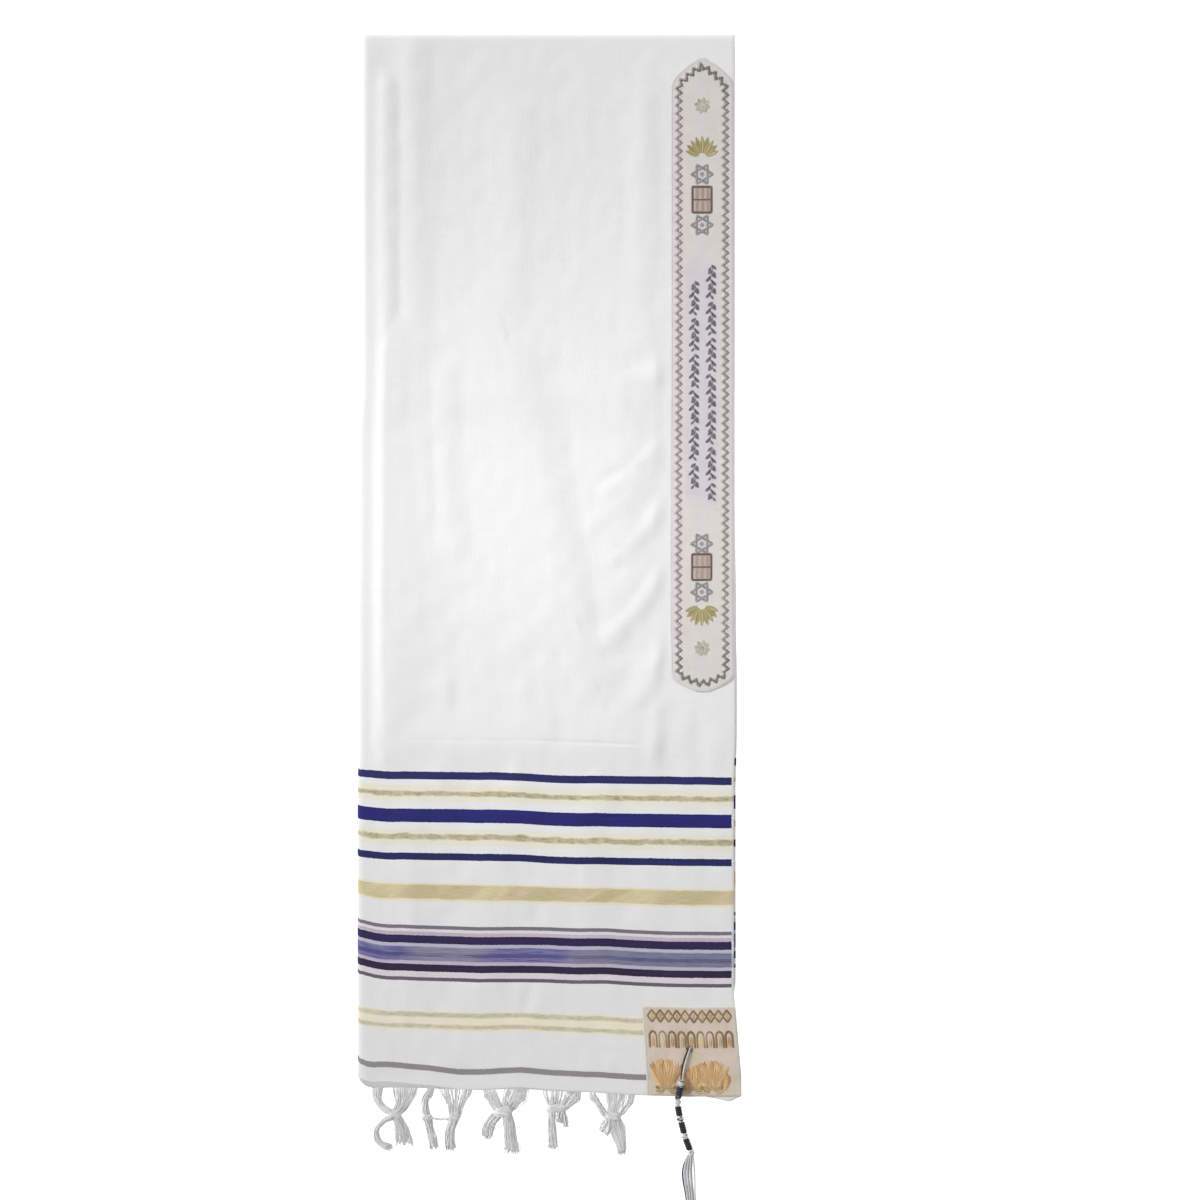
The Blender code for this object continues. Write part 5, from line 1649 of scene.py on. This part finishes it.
def make_tassel(number, tassel):
    """All yarns of a tassel as one piece."""
    draw = np.random.default_rng(FRINGE_SEED + number)
    knots = [(x, float(hem_y(x)) - below, reach_x, reach_y) for x, below, reach_x, reach_y in tassel["knots"]]
    parts = []
    for strands, stations in tassel["bundles"]:
        paths = bundle(strands, stations, knots, draw)
        radii = np.full(paths.shape[:2], YARN_RADIUS)
        radii[:, -1] *= 0.55
        shade = np.repeat(draw.uniform(0.88, 1.04, len(paths)), YARN_POINTS * YARN_SIDES + 2)[:, None]
        parts.append((tubes(paths, radii, YARN_SIDES, UP), FRINGE_COLOUR * shade))
    for knot in knots:
        paths = knot_wraps(knot, draw)
        shade = np.repeat(draw.uniform(0.88, 1.08, len(paths)), paths.shape[1] * YARN_SIDES + 2)[:, None]
        parts.append((tubes(paths, YARN_RADIUS, YARN_SIDES, ALONG_Y), FRINGE_COLOUR * shade))
    points, faces, tint = join(parts)
    return build(f"tassel_{number}_yarns", points, faces, tint=tint)


for number, tassel in TASSELS.items():
    dress(make_tassel(number, tassel), fringe_finish, "fringe_yarn", f"fringe_tassel_{number}")

# %% [markdown]
# ## The corner strings
#
# Four strings are drawn through the eyelet and doubled, so eight ends hang from it. One dark string
# is wound round the others between white knots, four times, and the ends hang loose below the last
# knot. The route is the frame's: a table of places and radii. A winding is a helix round that route,
# and a knot is one closed line that runs round a ball and sways from pole to pole as it goes.

# %% Knotted and wound head
HEAD = [
    # x, y, radius
    (164.8, -538.0, 2.8),
    (164.4, -541.5, 4.6),
    (163.2, -546.5, 3.6),
    (161.9, -553.8, 3.9),
    (160.4, -560.0, 3.7),
    (159.8, -565.6, 4.8),
    (160.4, -571.0, 3.7),
    (161.4, -577.0, 3.9),
    (162.3, -582.0, 3.6),
    (163.4, -586.4, 4.7),
    (164.6, -591.5, 3.7),
    (166.6, -598.5, 3.9),
    (167.6, -603.5, 3.7),
    (168.8, -607.8, 4.7),
    (170.5, -612.5, 3.7),
    (173.0, -619.0, 3.9),
    (175.0, -624.5, 3.7),
    (176.6, -628.4, 4.7),
    (176.6, -632.5, 2.6),
]
KNOTS_Y = (-541.5, -565.6, -586.4, -607.8, -628.4)
WINDINGS_Y = ((-546.5, -560.5), (-571.0, -582.6), (-590.8, -604.0), (-611.6, -624.6))
HEAD_RADIUS = 4.8
WINDING_RADIUS = 3.15
WINDING_PITCH = 1.95
WOUND_STRING = 0.95
CORE_STRING = 1.0
CORE_REACH = 1.95
NAVY_STRING = screen(24, 19, 48)
BROWN_STRING = screen(62, 40, 36)
WHITE_STRING = screen(224, 221, 219)
LOOSE_WHITE = screen(214, 213, 214)


def patch_top(x, y):
    """Height of what lies under the corner strings: the patch, and past the hem the floor."""
    down = down_at(x, y)
    on_patch = cloth_height(PANEL_WIDTH - FOLD_RADIUS, np.minimum(down, HEM_DOWN)) + GAP + PATCH_WALL
    return on_patch * (1.0 - ease(down, HEM_DOWN + 3.0, HEM_DOWN + 9.0))


head_route = np.array(HEAD)
head_height = patch_top(head_route[:, 0], head_route[:, 1]) + GAP + HEAD_RADIUS
head_route = np.column_stack([head_route[:, :2], head_height])
head_line = smooth_path(head_route, 400)


def on_head(y):
    """Points of the head's middle line at some y."""
    return np.column_stack([np.interp(-np.asarray(y), -head_line[:, 1], head_line[:, axis])
                            for axis in range(3)])


def round_head(y, reach, turn):
    """Points round the head's middle line, at a reach and a turn, and the line's direction there."""
    middle = on_head(y)
    along = unit(on_head(np.asarray(y) - 0.5) - on_head(np.asarray(y) + 0.5))
    side, up = sideways(along, UP)
    ray = np.cos(turn)[:, None] * side + np.sin(turn)[:, None] * up
    return middle + np.asarray(reach).reshape(-1, 1) * ray, along, ray


def winding(start, end):
    """A helix of plied string, turn beside turn."""
    count = int((start - end) / WINDING_PITCH * 40)
    y = np.linspace(start, end, count)
    path, along, ray = round_head(y, WINDING_RADIUS, 2 * np.pi * (start - y) / WINDING_PITCH)
    return tubes(plied(path, along, 2, WOUND_STRING, 4.2), WOUND_STRING * 0.6, 6, along)


def ball_knot(y, reach, turns, sways, start):
    """A closed line that runs round a ball and sways between its poles, as tubes."""
    share = np.linspace(0.0, 1.0, 60 * turns)
    tilt = 0.95 * np.sin(2 * np.pi * sways * share + start)
    turn = 2 * np.pi * turns * share + start
    height = y - reach * 0.95 * np.sin(tilt)
    path, along, ray = round_head(height, reach * np.cos(tilt), turn)
    return tubes(path[None], WOUND_STRING * 0.95, 6, unit(ray))


def core_strings():
    """Six strings side by side along the whole head."""
    y = np.linspace(-537.0, -631.0, 150)
    parts = []
    for place in range(6):
        turn = place * np.pi / 3 + (-537.0 - y) / 22.0
        path, along, ray = round_head(y, np.full(len(y), CORE_REACH), turn)
        parts.append((string(path, UP, CORE_STRING, 3, 5.0, 1.0, 5), WHITE_STRING * 0.92))
    return parts


head_parts = core_strings()
for start, end in WINDINGS_Y:
    head_parts.append((winding(start, end), NAVY_STRING))
for place, y in enumerate(KNOTS_Y):
    head_parts.append((ball_knot(y, 3.6, 5, 3, 0.6 + place), WHITE_STRING))
    colour = NAVY_STRING * 1.5 if place in (0, 2) else WHITE_STRING
    head_parts.append((ball_knot(y, 3.75, 2, 1, 2.1 + 1.7 * place), colour))
print("windings:", len(WINDINGS_Y), "knots:", len(KNOTS_Y))

# %% Strings from the eyelet, and loose ends
STRING_THICK = 1.1
STRING_SWING = 2.0
STRING_CLEAR = 0.35
LOOSE_WAVE = 1.6
LOOSE_ENDS = [
    # side at the knot, side where they spread, side at the narrow place, side at the end, end y, level
    (-2.2, -8.0, -4.6, -9.0, -757.0, 0),
    (-0.8, -4.6, -1.6, -3.5, -764.0, 0),
    (0.8, -1.2, 1.4, 2.0, -768.9, 0),
    (2.2, 2.4, 4.6, 8.5, -760.0, 0),
    (-1.8, -6.3, -3.0, -6.0, -752.0, 1),
    (-0.5, -2.6, 0.0, -0.5, -759.0, 1),
    (0.6, 0.8, 3.0, 5.0, -754.0, 1),
    (1.9, 5.6, 6.2, 11.0, -748.0, 1),
]
LOOSE_SPREAD_Y = -648.0
LOOSE_NARROW_Y = -690.0
LEVEL_RISE = 2.9
START_STAGGER = 0.43


def from_eyelet(side):
    """A string that rises out of the eyelet and runs over the patch to the first knot."""
    share = np.linspace(0.0, 1.0, 24)
    bend = np.sin(np.pi * share)
    over = patch_top(*EYELET)
    lying = over + GAP + STRING_THICK + STRING_CLEAR
    x = EYELET[0] + (head_line[0, 0] - EYELET[0]) * share + side * (0.9 + 0.6 * bend - 0.45 * share)
    y = EYELET[1] + (head_line[0, 1] - 2.0 - EYELET[1]) * share
    z = lying + (head_line[0, 2] - lying) * share ** 3
    path = np.column_stack([x - STRING_SWING * bend, y, z])
    rise = np.linspace(1.0, 0.15, 5)[:, None]
    return np.vstack([path[0] - rise * np.array([0.0, -0.5, lying - over + PATCH_WALL]), path])


def loose_end(strand, at_knot, spread_side, narrow, at_end, end_y, level):
    """A loose string: it spreads below the last knot, draws in and spreads again."""
    last_x, last_y, last_z = head_route[-2]
    low = STRING_THICK + STRING_CLEAR + LEVEL_RISE * level
    stations = [
        (last_x + at_knot, last_y + START_STAGGER * strand, last_z + 1.2 * (level - 0.5)),
        (last_x - 1.5 + spread_side, LOOSE_SPREAD_Y, low + 0.6),
        (last_x - 0.8 + narrow, LOOSE_NARROW_Y, low),
        (last_x + 0.5 + (narrow + at_end) / 2 + LOOSE_WAVE * (-1) ** strand,
         (LOOSE_NARROW_Y + end_y) / 2, low),
        (last_x + 1.0 + at_end, end_y, low),
    ]
    return smooth_path(stations, 120)


parts = list(head_parts)
for side, colour in ((-1.0, BROWN_STRING), (1.0, WHITE_STRING)):
    parts.append((string(from_eyelet(side), ALONG_X, STRING_THICK, 3, 4.6, 0.5), colour))
for strand, row in enumerate(LOOSE_ENDS):
    colour = NAVY_STRING * 1.7 if strand == 0 else LOOSE_WHITE
    parts.append((string(loose_end(strand, *row), ALONG_X, STRING_THICK, 3, 6.0, 0.75, 5), colour))
points, faces, tint = join(parts)
strings = build("corner_strings", points, faces, tint=tint)
dress(strings, string_finish, "string_yarn", "tzitzit")
